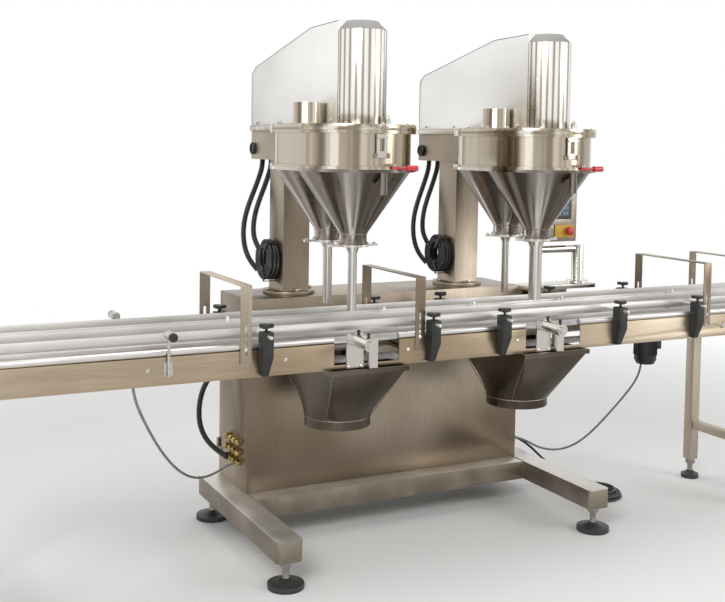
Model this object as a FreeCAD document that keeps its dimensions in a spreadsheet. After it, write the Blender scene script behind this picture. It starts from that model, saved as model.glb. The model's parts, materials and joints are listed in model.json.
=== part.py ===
# Auger powder filler: two twin-screw filling heads over a two-lane bottle conveyor.
# Millimetres. X runs along the conveyor, Y away from the operator, Z up.
# The origin is on the floor under the middle of the machine.

import FreeCAD, Part
import math
import os
import re
from FreeCAD import Placement, Rotation, Vector

doc = FreeCAD.newDocument("auger_powder_filler")
sheet = doc.addObject("Spreadsheet::Sheet", "Sizes")

# Driving dimensions, by assembly
SIZES = {
    # Base frame and feet
    "beam_centre": 710, "beam_wide": 104, "beam_high": 81, "beam_low": 105,
    "beam_front": -397, "beam_rear": 500, "beam_wall": 4, "beam_corner": 22,
    "cross_front": 81, "cross_deep": 104, "foot_inset": 45, "foot_radius": 68,
    "foot_pad": 20, "foot_dome": 16, "foot_taper": 0.72, "foot_stem": 13, "foot_nut": 24,
    "nut_high": 24,
    # Cabinet, its doors and what it holds
    "cabinet_half": 668, "cabinet_front": 166, "cabinet_deep": 310, "cabinet_high": 801,
    "cabinet_wall": 3, "cabinet_lip": 24, "door_thick": 18, "door_gap": 2, "door_wall": 2,
    "hinge_radius": 7, "hinge_pin": 3, "hinge_high": 35, "hinge_leaf": 34, "hinge_inset": 120,
    "handle_long": 120, "handle_thick": 12, "handle_reach": 30,
    "plate_inset": 60, "plate_thick": 3, "device_deep": 90, "standoff_long": 25,
    "standoff_radius": 8, "plate_margin": 40, "drive_pitch": 170, "drive_wide": 110,
    "drive_high": 230, "supply_pitch": 240, "supply_wide": 160, "supply_high": 100,
    "rail_drop": 100,
    # Columns and head arms
    "head_pitch": 424, "column_wide": 121, "column_deep": 151, "column_front": 239,
    "column_wall": 5, "flange_radius": 112, "flange_thick": 16, "flange_bolts": 97,
    "bolt_radius": 8, "bolt_head": 12, "arm_wide": 190, "arm_rear": 525, "arm_wall": 4,
    "arm_low": 1554,
    # Hopper: band, lid, twin cones
    "lane_front": -287, "lane_rear": -69, "band_low": 1536, "band_high": 141,
    "band_radius": 212, "band_wall": 3, "rim_reach": 20, "rim_high": 11,
    "lid_thick": 22, "lid_overhang": 8, "cone_neck": 1290, "neck_radius": 53, "neck_long": 40,
    "neck_flange": 60, "flange_high": 7, "port_radius": 55, "port_wall": 3,
    "port_high": 80, "port_left": 156, "port_back": 80,
    "tube_radius": 15, "tube_high": 80, "tube_out": 12,
    # Motor cover
    "cover_wide": 190, "cover_wall": 3, "cover_nose": -335, "cover_bevel": 34,
    "cover_back_high": 226, "cover_back_rise": 26, "cover_back_slope": 40, "cover_slope_front": -90,
    "cover_slope_high": 373, "cover_top": 379,
    # Drive units
    "housing_radius": 46, "housing_high": 40, "gearbox_wide": 90, "gearbox_high": 90,
    "servo_wide": 80, "servo_high": 150, "spigot_radius": 30,
    # Augers and nozzles
    "shaft_radius": 10, "screw_core": 6, "running_gap": 0.05, "screw_gap": 1,
    "screw_pitch": 36, "screw_thick": 3, "screw_lift": 4, "screw_rise": 26,
    "nozzle_low": 996, "nozzle_wall": 1.5,
    "nozzle_left_front": 17, "nozzle_left_rear": 18,
    "nozzle_right_front": 26, "nozzle_right_rear": 15,
    "wing_long": 42, "wing_wide": 16, "wing_high": 9, "reducer_high": 25,
    "paddle_radius": 92, "paddle_low": 1400, "paddle_high": 150, "paddle_thick": 8,
    # Draw latch and toggle lever
    "latch_wide": 43, "latch_high": 84, "latch_thick": 6, "latch_pivot": 1586,
    "latch_slot_wide": 19, "latch_slot_high": 50, "lug_thick": 6, "lug_deep": 20,
    "toggle_angle": 10, "toggle_long": 56, "grip_long": 42, "grip_radius": 11,
    "toggle_bar": 5, "toggle_high": 1542, "toggle_pin": 4, "toggle_hub": 9,
    # Control panel
    "shelf_far": 1060, "shelf_front": 100, "shelf_deep": 130, "shelf_thick": 19,
    "pole_at": 1003, "pole_radius": 29, "pole_top": 1165, "panel_arm_high": 1148,
    "panel_arm_radius": 17, "riser_at": 770, "riser_radius": 16, "box_left": 685,
    "box_right": 943, "box_deep": 120, "box_low": 1190, "box_high": 260,
    "box_wall": 2, "screen_wide": 190, "screen_high": 130, "screen_thick": 5,
    "stop_plate_wide": 106, "stop_plate_high": 58, "stop_plate_left": 22,
    "stop_plate_thick": 4, "button_radius": 19, "button_stem": 11, "button_thick": 14,
    "button_travel": 5, "button_left": 50,
    # Conveyor
    "conveyor_half": 1880, "panel_front": -420, "panel_back": 15, "panel_low": 805,
    "panel_high": 96, "panel_thick": 3, "lip_wide": 22, "rail_radius": 12.5,
    "belt_top": 890, "belt_wide": 110, "belt_thick": 5, "nose_radius": 34,
    "bed_thick": 4, "tie_radius": 10, "tie_pitch": 500, "tie_margin": 500, "tie_lift": 8,
    "belt_inset": 50, "end_hole_inset": 15, "end_hole_pitch": 50, "end_hole_radius": 4.5,
    "window_half": 135, "window_low": 822, "mount_wide": 60, "mount_high": 70,
    "mount_inset": 330, "drive_inset": 525, "drive_radius": 12.5, "sprocket_wide": 40,
    "gear_wide": 110, "gear_high": 110, "motor_radius": 53, "motor_low": 588,
    "leg_right_inset": 240, "leg_left_inset": 100, "leg_wide": 50, "leg_low": 95,
    "crossbar_low": 250, "crossbar_high": 40, "small_foot": 42,
    # Guides, clamps, knobs and guards
    "guide_low": 936, "guide_high": 34, "guide_thick": 8, "guide_out": 62,
    "guide_half": 1830, "guide_rod": 6, "clamp_wide": 42, "clamp_deep": 46,
    "clamp_top": 968, "clamp_taper": 40, "knob_radius": 25, "knob_high": 12,
    "knob_stem": 5, "knob_lift": 14, "centre_wide": 60, "centre_low": 838,
    "centre_high": 63, "saddle_wide": 84, "saddle_thick": 5, "centre_post": 7,
    "centre_lane": 24, "wing_knob": 22, "guard_wide": 42, "guard_thick": 4,
    "guard_low": 856, "guard_top": 1131, "guard_slot_wide": 10, "guard_slot_high": 110,
    "guard_infeed": -902, "guard_middle": -202, "guard_outfeed": 1250, "guard_inset": 290,
    "clamp_infeed": -835, "clamp_left": -155, "clamp_middle": 168, "clamp_right": 748,
    "clamp_outfeed": 1175, "post_infeed": -880, "post_left": -225, "post_middle": 198,
    "post_right": 650, "post_outfeed": 1278,
    # Bottle stops
    "stop_left": -52, "stop_block_wide": 34, "stop_block_deep": 34, "stop_axis": 912,
    "stop_cylinder": 24, "stop_long": 120, "stop_rod": 5,
    "finger_high": 33, "finger_low": 898, "finger_wide": 16,
    # Funnels below the conveyor
    "funnel_half": 150, "funnel_front": -440, "funnel_rim": 18, "funnel_lip": 12,
    "funnel_wall": 2, "collar_radius": 129, "collar_low": 540, "collar_high": 35,
    # Sensors
    "sensor_radius": 15, "sensor_long": 62, "sensor_post": 6, "sensor_rear_at": -1245,
    "sensor_front_at": -1180, "sensor_high": 960, "level_radius": 11, "level_high": 22,
    "level_right": 62, "level_front": 147,
    # Cords and their fittings
    "conduit_radius": 12, "cable_radius": 5, "lead_radius": 6, "gland_radius": 14,
    "gland_long": 26, "gland_pitch": 42, "gland_low": 300, "gland_first": 230, "gland_drop": 60,
    "loom_radius": 90, "loom_hole": 26, "loom_wide": 52, "loom_level": 1130,
    "coil_x": 1030, "coil_y": 0, "coil_radius": 120, "coil_hole": 62, "coil_high": 52,
}

for row, (alias, value) in enumerate(SIZES.items(), start=1):
    sheet.set(f"A{row}", alias)
    sheet.set(f"B{row}", str(value))
    sheet.setAlias(f"B{row}", alias)
doc.recompute()

NAME = re.compile(r"[a-z]+(?:_[a-z]+)+")
nodes = {}


def size(alias):
    """Read one driving dimension back from the sheet."""
    return float(sheet.get(alias))


def bind(item, prop, formula):
    """Tie a property to a formula of sheet names."""
    item.setExpression(prop, NAME.sub(r"Sizes.\g<0>", str(formula)))


def put(item, x, y, z, turn=None):
    """Place an item by formulas, after an optional turn."""
    if turn is not None:
        item.Placement = Placement(Vector(), turn)
    for axis, formula in (("x", x), ("y", y), ("z", z)):
        bind(item, "Placement.Base." + axis, formula)
    return item


def box(x, y, z, long, deep, high):
    """Block centred on x and y, standing on z."""
    item = doc.addObject("Part::Box", "Block")
    bind(item, "Length", long)
    bind(item, "Width", deep)
    bind(item, "Height", high)
    return put(item, f"({x}) - ({long}) / 2", f"({y}) - ({deep}) / 2", z)


WAYS = {
    "+Z": Rotation(),
    "-Z": Rotation(Vector(1, 0, 0), 180),
    "+X": Rotation(Vector(0, 1, 0), 90),
    "+Y": Rotation(Vector(1, 0, 0), -90),
    "-Y": Rotation(Vector(1, 0, 0), 90),
}


def rod(x, y, z, radius, long, way="+Z"):
    """Cylinder that starts at a point and runs one way."""
    item = doc.addObject("Part::Cylinder", "Rod")
    bind(item, "Radius", radius)
    bind(item, "Height", long)
    return put(item, x, y, z, WAYS[way])


def cone(x, y, z, low, top, high, way="+Z"):
    """Cone that starts at a point and runs one way."""
    item = doc.addObject("Part::Cone", "Taper")
    bind(item, "Radius1", low)
    bind(item, "Radius2", top)
    bind(item, "Height", high)
    return put(item, x, y, z, WAYS[way])


def hexagon(x, y, z, radius, high):
    """Six-sided nut or bolt head standing on z."""
    item = doc.addObject("Part::Prism", "Hexagon")
    item.Polygon = 6
    bind(item, "Circumradius", radius)
    bind(item, "Height", high)
    return put(item, x, y, z)


def fuse(*items):
    """Join items into one piece."""
    joint = doc.addObject("Part::MultiFuse", "Joined")
    joint.Shapes = list(items)
    joint.Refine = True
    return joint


def cut(base, *tools):
    """Take tools out of a base."""
    piece = doc.addObject("Part::Cut", "Cut")
    piece.Base = base
    piece.Tool = tools[0] if len(tools) == 1 else fuse(*tools)
    piece.Refine = True
    return piece


def group(*items):
    """Several separate solids kept together."""
    bundle = doc.addObject("Part::Compound", "Group")
    bundle.Links = list(items)
    return bundle


def made(shape, label="Made"):
    """A shape that the primitives can't give."""
    item = doc.addObject("Part::Feature", label)
    item.Shape = shape
    return item


def rounded(item, edges, radius):
    """Round some edges of an item."""
    doc.recompute()
    piece = doc.addObject("Part::Fillet", "Rounded")
    piece.Base = item
    piece.Edges = [(edge, size(radius), size(radius)) for edge in edges]
    return piece


def upright_edges(item):
    """Numbers of an item's vertical straight edges."""
    doc.recompute()
    found = []
    for number, edge in enumerate(item.Shape.Edges, start=1):
        first, last = edge.Vertexes[0].Point, edge.Vertexes[-1].Point
        if abs(first.x - last.x) < 0.01 and abs(first.y - last.y) < 0.01:
            found.append(number)
    return found


def node(name, item):
    """Give a finished sub-part its name."""
    item.Label = name
    nodes[name] = item
    return item


# Heights and places that follow from the driving dimensions
beam_top = "(beam_low + beam_high)"
cabinet_top = f"({beam_top} + cabinet_high)"
cabinet_back = "(cabinet_front + cabinet_deep)"
column_middle = "(column_front + column_deep / 2)"
band_top = "(band_low + band_high)"
lid_top = f"({band_top} + lid_thick)"
cone_top = "(band_low - rim_high)"
rim_radius = "(band_radius + rim_reach)"
neck_low = "(cone_neck - neck_long)"
nozzle_top = neck_low
lane_middle = "((lane_front + lane_rear) / 2)"
panel_middle = "((panel_front + panel_back) / 2)"
panel_gap = "(panel_back - panel_front - 2 * panel_thick)"
panel_top = "(panel_low + panel_high)"
belt_axis = "(belt_top - belt_thick - nose_radius)"
nose_at = "(conveyor_half - belt_inset - nose_radius)"
centre_half = "(conveyor_half - belt_inset)"
drive_at = "(conveyor_half - drive_inset)"
leg_left = "(leg_left_inset - conveyor_half)"
leg_right = "(conveyor_half - leg_right_inset)"
SIDES = (("left", "-1"), ("right", "1"))
HEADS = [(side, f"({sign} * head_pitch)") for side, sign in SIDES]
LANES = (("front", "lane_front"), ("rear", "lane_rear"))


# Base: two long beams with rounded ends, and two cross members between them
def beam(x):
    outer = box(x, "(beam_front + beam_rear) / 2", "beam_low",
                "beam_wide", "beam_rear - beam_front", "beam_high")
    outer = rounded(outer, upright_edges(outer), "beam_corner")
    inner = box(x, "(beam_front + beam_rear) / 2", "beam_low + beam_wall",
                "beam_wide - 2 * beam_wall - 2", "beam_rear - beam_front - 2 * beam_corner",
                "beam_high - 2 * beam_wall")
    return cut(outer, inner)


def cross_member(front):
    long = "2 * beam_centre - beam_wide"
    outer = box("0", f"{front} + cross_deep / 2", "beam_low", long, "cross_deep", "beam_high")
    inner = box("0", f"{front} + cross_deep / 2", "beam_low + beam_wall", f"{long} + 2",
                "cross_deep - 2 * beam_wall", "beam_high - 2 * beam_wall")
    return cut(outer, inner)


node("base_frame", group(beam("-beam_centre"), beam("beam_centre"), cross_member("cross_front"),
                         cross_member("(cabinet_front + cabinet_deep - cross_deep)")))


def foot(x, y, radius, underside):
    """Pad, dome, threaded stem and lock nut of one levelling foot."""
    pad = rod(x, y, "0", radius, "foot_pad")
    dome = cone(x, y, "foot_pad", f"({radius}) * foot_taper", "foot_stem + 2", "foot_dome")
    stem = rod(x, y, "foot_pad", "foot_stem", f"{underside} - foot_pad")
    nut = hexagon(x, y, f"{underside} - nut_high", "foot_nut", "nut_high")
    return fuse(pad, dome, stem, nut)


machine_feet = [foot(f"{sign} * beam_centre", y, "foot_radius", "beam_low")
                for _, sign in SIDES
                for y in ("beam_front + foot_inset", "beam_rear - foot_inset")]
leg_spots = [(x, y) for x in (leg_left, leg_right)
             for y in ("panel_front - leg_wide / 2", "panel_back + leg_wide / 2")]
conveyor_feet = [foot(x, y, "small_foot", "leg_low") for x, y in leg_spots]
node("levelling_feet", group(*machine_feet, *conveyor_feet))


# Cabinet: a five-sided sheet box, open at the back behind two hinged doors
def cabinet():
    middle = "cabinet_front + cabinet_deep / 2"
    shell = box("0", middle, beam_top, "2 * cabinet_half", "cabinet_deep", "cabinet_high")
    room = box("0", "cabinet_front + (cabinet_deep - cabinet_wall) / 2",
               f"{beam_top} + cabinet_wall", "2 * (cabinet_half - cabinet_wall)",
               "cabinet_deep - 3 * cabinet_wall", "cabinet_high - 2 * cabinet_wall")
    mouth = box("0", f"{cabinet_back} - cabinet_lip / 2", f"{beam_top} + cabinet_lip",
                "2 * (cabinet_half - cabinet_lip)", "3 * cabinet_lip",
                "cabinet_high - 2 * cabinet_lip")
    lugs = []
    for _, sign in SIDES:
        for z in (f"{beam_top} + hinge_inset", f"{cabinet_top} - hinge_inset"):
            lugs.append(hinge_lug(f"{sign} * (cabinet_half + hinge_radius)", sign, z))
    return fuse(cut(shell, room, mouth), *lugs)


def hinge_lug(x, sign, z):
    """Lower hinge knuckle with the pin that stands out of it."""
    knuckle = rod(x, hinge_line, f"{z} - hinge_high", "hinge_radius", "hinge_high")
    leaf = box(f"({x}) - {sign} * hinge_radius / 2", f"{hinge_line} - hinge_leaf / 2",
               f"{z} - hinge_high", "hinge_radius", "hinge_leaf", "hinge_high")
    return fuse(knuckle, leaf, rod(x, hinge_line, z, "hinge_pin", "hinge_high - 1"))


hinge_line = f"({cabinet_back} + door_gap + hinge_radius)"
node("cabinet", cabinet())


def door(sign):
    """Folded sheet door, its two upper knuckles and a bow handle."""
    long = "cabinet_half - door_gap - 4"
    middle = f"{sign} * (cabinet_half + door_gap) / 2"
    y = f"{cabinet_back} + door_gap + door_thick / 2"
    skin = box(middle, y, f"{beam_top} + 4", long, "door_thick", "cabinet_high - 8")
    room = box(middle, f"{y} - door_wall", f"{beam_top} + 4 + door_wall",
               f"{long} - 2 * door_wall", "door_thick", "cabinet_high - 8 - 2 * door_wall")
    parts = []
    pins = []
    x = f"{sign} * (cabinet_half + hinge_radius)"
    for z in (f"{beam_top} + hinge_inset", f"{cabinet_top} - hinge_inset"):
        parts.append(rod(x, hinge_line, f"{z} + 0.5", "hinge_radius", "hinge_high"))
        parts.append(box(f"{sign} * (cabinet_half - 4)", f"{y} + (door_thick - hinge_radius) / 2",
                         f"{z} + 0.5", "24", "hinge_radius", "hinge_high"))
        pins.append(rod(x, hinge_line, f"{z} - 1", "hinge_pin + running_gap",
                        "hinge_high + 3"))
    handle_x = f"{sign} * 60"
    handle_y = f"{cabinet_back} + door_gap + door_thick"
    handle_z = f"{beam_top} + cabinet_high / 2"
    grip = box(handle_x, f"{handle_y} + handle_reach - handle_thick / 2",
               f"{handle_z} - handle_long / 2", "handle_thick", "handle_thick", "handle_long")
    stem = box(handle_x, f"{handle_y} + handle_reach / 2 - door_wall / 2",
               f"{handle_z} - handle_thick", "handle_thick", "handle_reach + door_wall - 2",
               "2 * handle_thick")
    return cut(fuse(cut(skin, room), *parts, grip, stem), *pins)


for side, sign in SIDES:
    node(f"{side}_rear_door", door(sign))


# Electrical plate: what drives the servos, on standoffs inside the cabinet
def electrical_plate():
    wide = "2 * (cabinet_half - plate_inset)"
    front = "cabinet_front + cabinet_wall + standoff_long"
    high = "cabinet_high - 2 * plate_inset"
    low = f"{beam_top} + plate_inset"
    pieces = [box("0", f"{front} + plate_thick / 2", low, wide, "plate_thick", high)]
    for x in ("-cabinet_half + 2 * plate_inset", "cabinet_half - 2 * plate_inset"):
        for z in (f"{low} + plate_margin", f"{low} + {high} - plate_margin"):
            pieces.append(rod(x, "cabinet_front + cabinet_wall", z, "standoff_radius",
                              "standoff_long", "+Y"))
    for step in (-1.5, -0.5, 0.5, 1.5):
        pieces.append(box(f"{step} * drive_pitch", f"{front} + plate_thick + device_deep / 2",
                          f"{low} + {high} - drive_high - rail_drop", "drive_wide",
                          "device_deep", "drive_high"))
    for step in (-1, 0, 1):
        pieces.append(box(f"{step} * supply_pitch", f"{front} + plate_thick + device_deep / 3",
                          f"{low} + rail_drop", "supply_wide", "device_deep * 2 / 3",
                          "supply_high"))
    return fuse(*pieces)


node("electrical_plate", electrical_plate())


# Column and head arm: one welded stand for each head
def stand(x):
    post = box(x, column_middle, cabinet_top, "column_wide", "column_deep",
               f"arm_low - {cabinet_top} + 1")
    post_room = box(x, column_middle, f"{cabinet_top} - 1", "column_wide - 2 * column_wall",
                    "column_deep - 2 * column_wall", f"arm_low - {cabinet_top} + 20")
    flange = rod(x, column_middle, cabinet_top, "flange_radius", "flange_thick")
    arm = box(x, f"({lane_middle} + arm_rear) / 2", "arm_low", "arm_wide",
              f"arm_rear - {lane_middle}", f"{band_top} - arm_low")
    arm_room = box(x, f"({lane_middle} + arm_rear) / 2 + arm_wall", "arm_low + arm_wall",
                   "arm_wide - 2 * arm_wall", f"arm_rear - {lane_middle} - 4 * arm_wall",
                   f"{band_top} - arm_low - 2 * arm_wall")
    bands = stadium(x, "band_radius", "band_low - 1", "band_high + 2")
    rims = [stadium(x, rim_radius, z, "rim_high + 1")
            for z in ("band_low - 1", f"{band_top} - rim_high")]
    return cut(fuse(post, flange, arm), post_room, arm_room, bands, *rims)


def stadium(x, radius, low, high):
    """Upright block with a half-round end about each filling lane."""
    return fuse(rod(x, "lane_front", low, radius, high), rod(x, "lane_rear", low, radius, high),
                box(x, lane_middle, low, f"2 * ({radius})", "lane_rear - lane_front", high))


for side, x in HEADS:
    node(f"{side}_column", stand(x))


def column_bolts():
    """Hexagon bolts through each column flange."""
    bolts = []
    for _, x in HEADS:
        for way_x, way_y in ((1, 0), (0, 1), (-1, 0), (0, -1)):
            at = (f"({x}) + {way_x} * flange_bolts", f"{column_middle} + {way_y} * flange_bolts")
            bolts.append(hexagon(*at, f"{cabinet_top} + flange_thick",
                                 "bolt_radius * 1.5", "bolt_head"))
    return group(*bolts)


node("column_bolts", column_bolts())


# Lid: flanged plate over the hopper and the arm, with the powder port
def lid(x):
    plate = stadium(x, rim_radius, band_top, "lid_thick")
    tail = box(x, f"({lane_middle} + arm_rear) / 2", band_top, "arm_wide + 2 * lid_overhang",
               f"arm_rear - {lane_middle}", "lid_thick")
    port_x = f"({x}) - port_left"
    port_y = "lane_front + port_back"
    port = rod(port_x, port_y, lid_top, "port_radius", "port_high")
    bore = rod(port_x, port_y, f"{band_top} - 1", "port_radius - port_wall",
               "lid_thick + port_high + 2")
    holes = [rod(x, y, f"{band_top} - 1", "spigot_radius", "lid_thick + 2") for _, y in LANES]
    return cut(fuse(plate, tail, port), bore, *holes)


def band(x):
    """Middle ring of the hopper with a rim at each end and the latch lugs."""
    wall = stadium(x, "band_radius", "band_low", "band_high")
    rims = [stadium(x, rim_radius, z, "rim_high")
            for z in ("band_low", f"{band_top} - rim_high")]
    room = stadium(x, "band_radius - band_wall", "band_low - 1", "band_high + 2")
    lugs = []
    bores = []
    for way in ("-1", "1"):
        lug_x = f"({x}) + {way} * (latch_wide / 2 + 0.5 + lug_thick / 2)"
        lugs.append(box(lug_x, f"{latch_line} + lug_deep / 2 - 8", "latch_pivot - 9",
                        "lug_thick", "lug_deep + 8", "18"))
    bores.append(rod(f"({x}) - latch_wide", latch_line, "latch_pivot",
                     "hinge_pin + running_gap", "2 * latch_wide", "+X"))
    keeper = box(x, f"{latch_line} + lug_deep / 2 + 2", f"{band_top} - rim_high - 18",
                 "latch_slot_wide - 4", "lug_deep - 4", "10")
    boss = rod(f"({x}) + {toggle_dx}", toggle_y, f"{toggle_top}", "toggle_hub", "10")
    arm = box(f"({x}) + {toggle_dx}", f"({toggle_y} + lane_front - band_radius) / 2 + 8",
              toggle_top, "2 * toggle_hub", "rim_reach + toggle_hub + 16", "10")
    return cut(fuse(wall, *rims, *lugs, keeper, boss, arm), room, *bores, toggle_bore(x))


latch_line = "(lane_front - band_radius - 8)"
sine = math.sin(math.radians(size("toggle_angle")))
cosine = math.cos(math.radians(size("toggle_angle")))
toggle_dx = f"({rim_radius} + toggle_hub + 1) * {sine:.5f}"
toggle_y = f"(lane_front - ({rim_radius} + toggle_hub + 1) * {cosine:.5f})"
toggle_top = "(toggle_high + toggle_bar + 0.5)"


def toggle_bore(x):
    """Clearance for the toggle lever's pin."""
    return rod(f"({x}) + {toggle_dx}", toggle_y, f"{toggle_top} - 1",
               "toggle_pin + running_gap", "12")


def cones(x):
    """Twin cones that meet in a crease, under a flange plate, with two necks."""
    plate = stadium(x, rim_radius, cone_top, "rim_high")
    outer = [plate]
    inner = []
    for _, y in LANES:
        outer.append(cone(x, y, "cone_neck", "neck_radius", "band_radius",
                          f"{cone_top} - cone_neck"))
        outer.append(rod(x, y, neck_low, "neck_radius", "neck_long"))
        outer.append(rod(x, y, neck_low, "neck_flange", "flange_high"))
        inner.append(cone(x, y, "cone_neck", "neck_radius - band_wall", "band_radius - band_wall",
                          f"{cone_top} - cone_neck"))
        inner.append(rod(x, y, cone_top, "band_radius - band_wall", "rim_high + 1"))
        inner.append(rod(x, y, f"{neck_low} - 1", "neck_radius - band_wall", "neck_long + 2"))
    outer.append(rod(f"({x}) + tube_out", f"lane_front - {rim_radius} + tube_radius",
                     f"{cone_top} - tube_high", "tube_radius", "tube_high"))
    return cut(fuse(*outer), *inner)


for side, x in HEADS:
    node(f"{side}_lid", lid(x))
    node(f"{side}_band", band(x))
    node(f"{side}_cones", cones(x))


# Motor cover: sheet hood with a sloped back and a faceted round nose
def hood_solid(x, inset, base, head):
    """Sloped body and faceted nose of the hood, drawn in by a wall."""
    half = size("cover_wide") / 2 - inset
    rear = size("arm_rear") - inset
    nose = size("cover_nose")
    top = head - inset
    bevel = size("cover_bevel") - (2 - math.sqrt(2)) * inset
    lid_level = size("band_low") + size("band_high") + size("lid_thick")
    back_top = lid_level + size("cover_back_high") - inset
    side = [(rear, base), (rear, back_top),
            (rear - size("cover_back_slope"), back_top + size("cover_back_rise")),
            (size("cover_slope_front"), lid_level + size("cover_slope_high") - inset),
            (nose + inset, top), (nose + inset, base)]
    side_face = Part.Face(Part.makePolygon([Vector(x - half, y, z) for y, z in side + side[:1]]))
    body = side_face.extrude(Vector(2 * half, 0, 0))

    def outline(radius, level):
        points = []
        for step in range(7):
            angle = math.radians(180 + 30 * step)
            points.append(Vector(x + radius * math.cos(angle), nose + radius * math.sin(angle),
                                 level))
        return points + points[:1]

    lower, upper = outline(half, top - bevel), outline(half - bevel, top)
    slopes = [(lower[k], lower[k + 1], upper[k + 1], upper[k], lower[k]) for k in range(7)]
    cap = Part.makeSolid(Part.makeShell([Part.Face(Part.makePolygon(ring))
                                         for ring in (lower, upper, *slopes)]))
    front = Part.Face(Part.makePolygon(outline(half, base)))
    front = front.extrude(Vector(0, 0, top - bevel - base))
    pieces = [front, cap]
    if inset:
        corners = [(-half, base), (-half, top - bevel), (bevel - half, top),
                   (half - bevel, top), (half, top - bevel), (half, base)]
        throat = Part.Face(Part.makePolygon([Vector(x + across, nose, z)
                                             for across, z in corners + corners[:1]]))
        pieces.append(throat.extrude(Vector(0, inset, 0)))
    return body.fuse(pieces).removeSplitter()


def cover(x):
    lid_level = size("band_low") + size("band_high") + size("lid_thick")
    head = lid_level + size("cover_top")
    return hood_solid(x, 0, lid_level, head).cut(
        hood_solid(x, size("cover_wall"), lid_level - 1, head))


for side, sign in SIDES:
    node(f"{side}_motor_cover", made(cover(float(sign) * size("head_pitch"))))


# Drive units: bearing housing, gearbox and servo motor over each lane
def drive_unit(x, y):
    housing = rod(x, y, lid_top, "housing_radius", "housing_high")
    spigot = rod(x, y, band_top, "spigot_radius", "lid_thick")
    bore = rod(x, y, f"{band_top} - 1", "shaft_radius + running_gap",
               "lid_thick + housing_high - 6")
    gearbox = box(x, y, f"{lid_top} + housing_high", "gearbox_wide", "gearbox_wide",
                  "gearbox_high")
    servo = box(x, y, f"{lid_top} + housing_high + gearbox_high", "servo_wide", "servo_wide",
                "servo_high")
    return cut(fuse(housing, spigot, gearbox, servo), bore)


node("drive_units", group(*[drive_unit(x, y) for _, x in HEADS for _, y in LANES]))


# Nozzles: winged flange, reducing cone and filling tube below each neck
def nozzle(x, y, radius):
    flange = rod(x, y, f"{nozzle_top} - wing_high", "neck_flange", "wing_high")
    wings = box(x, y, f"{nozzle_top} - wing_high", "2 * (neck_flange + wing_long)",
                "wing_wide", "wing_high")
    reducer = cone(x, y, f"{nozzle_top} - wing_high - reducer_high", radius,
                   f"({radius}) + 10", "reducer_high")
    tube = rod(x, y, "nozzle_low", radius, f"{nozzle_top} - nozzle_low - wing_high")
    bore = rod(x, y, "nozzle_low - 1", f"{radius} - nozzle_wall",
               f"{nozzle_top} - nozzle_low + 2")
    return cut(fuse(flange, wings, reducer, tube), bore)


node("nozzles", group(*[nozzle(x, f"{lane_name}", f"nozzle_{side}_{lane}")
                        for side, x in HEADS for lane, lane_name in LANES]))


# Augers: shaft, screw flight inside the nozzle, and stirring paddles in the cone
def flight(x, y, radius, low, high):
    """Screw flight from a flat bar swept round the shaft."""
    core = size("screw_core") - 0.5
    thick = size("screw_thick")
    path = Part.makeHelix(size("screw_pitch"), high - low, (core + radius) / 2)
    corners = [(core, -thick / 2), (radius, -thick / 2), (radius, thick / 2), (core, thick / 2)]
    outline = Part.makePolygon([Vector(a, 0, b) for a, b in corners + corners[:1]])
    bar = Part.Wire(path).makePipeShell([outline], True, True)
    bar.translate(Vector(x, y, low))
    return made(bar)


def auger(sign, lane, radius):
    x = f"({sign} * head_pitch)"
    low = size("nozzle_low") + size("screw_lift")
    screw_top = size("cone_neck") + size("screw_rise")
    turning = size(radius) - size("nozzle_wall") - size("screw_gap")
    core = rod(x, lane, "nozzle_low + screw_lift / 2", "screw_core", "paddle_low - nozzle_low")
    shaft = rod(x, lane, "paddle_low - 10", "shaft_radius",
                f"{lid_top} + housing_high - 10 - paddle_low")
    screw = flight(float(sign) * size("head_pitch"), size(lane), turning, low, screw_top)
    bars = []
    for way in ("-1", "1"):
        bars.append(box(x, f"{lane} + {way} * paddle_radius", "paddle_low",
                        "paddle_thick", "paddle_thick", "paddle_high"))
    for z in ("paddle_low", "paddle_low + paddle_high - paddle_thick"):
        bars.append(box(x, lane, z, "paddle_thick", "2 * paddle_radius", "paddle_thick"))
    return fuse(core, shaft, screw, *bars)


for side, sign in SIDES:
    for lane, lane_name in LANES:
        node(f"{side}_{lane}_auger", auger(sign, lane_name, f"nozzle_{side}_{lane}"))


# Draw latch on the band and toggle lever at its lower rim
def latch(x):
    frame = box(x, latch_line, "latch_pivot - 7", "latch_wide", "latch_thick", "latch_high")
    slot = box(x, latch_line, "latch_pivot + 16", "latch_slot_wide", "latch_thick + 2",
               "latch_slot_high")
    lift = box(x, f"{latch_line} - 6", "latch_pivot + latch_high - 22", "latch_wide", "14", "5")
    pin = rod(f"({x}) - latch_wide / 2 - lug_thick", latch_line, "latch_pivot", "hinge_pin",
              "latch_wide + 2 * lug_thick", "+X")
    return fuse(cut(frame, slot), lift, pin)


def toggle(x):
    """Pinned lever that points right, with a ball-ended grip."""
    at = f"({x}) + {toggle_dx}"
    hub = rod(at, toggle_y, "toggle_high - toggle_bar", "toggle_hub", "2 * toggle_bar")
    pin = rod(at, toggle_y, "toggle_high", "toggle_pin", "toggle_bar + 9")
    bar = rod(at, toggle_y, "toggle_high", "toggle_bar", "toggle_long", "+X")
    grip = rod(f"{at} + toggle_long - 4", toggle_y, "toggle_high", "grip_radius",
               "grip_long", "+X")
    return fuse(hub, pin, bar, grip)


for side, x in HEADS:
    node(f"{side}_latch", latch(x))
    node(f"{side}_toggle", toggle(x))


# Control panel: shelf beside the cabinet, pole, side arm and swivelling box
shelf_low = f"({cabinet_top} - shelf_thick)"
shelf_y = "(shelf_front + shelf_deep / 2)"
box_x = "((box_left + box_right) / 2)"


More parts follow.
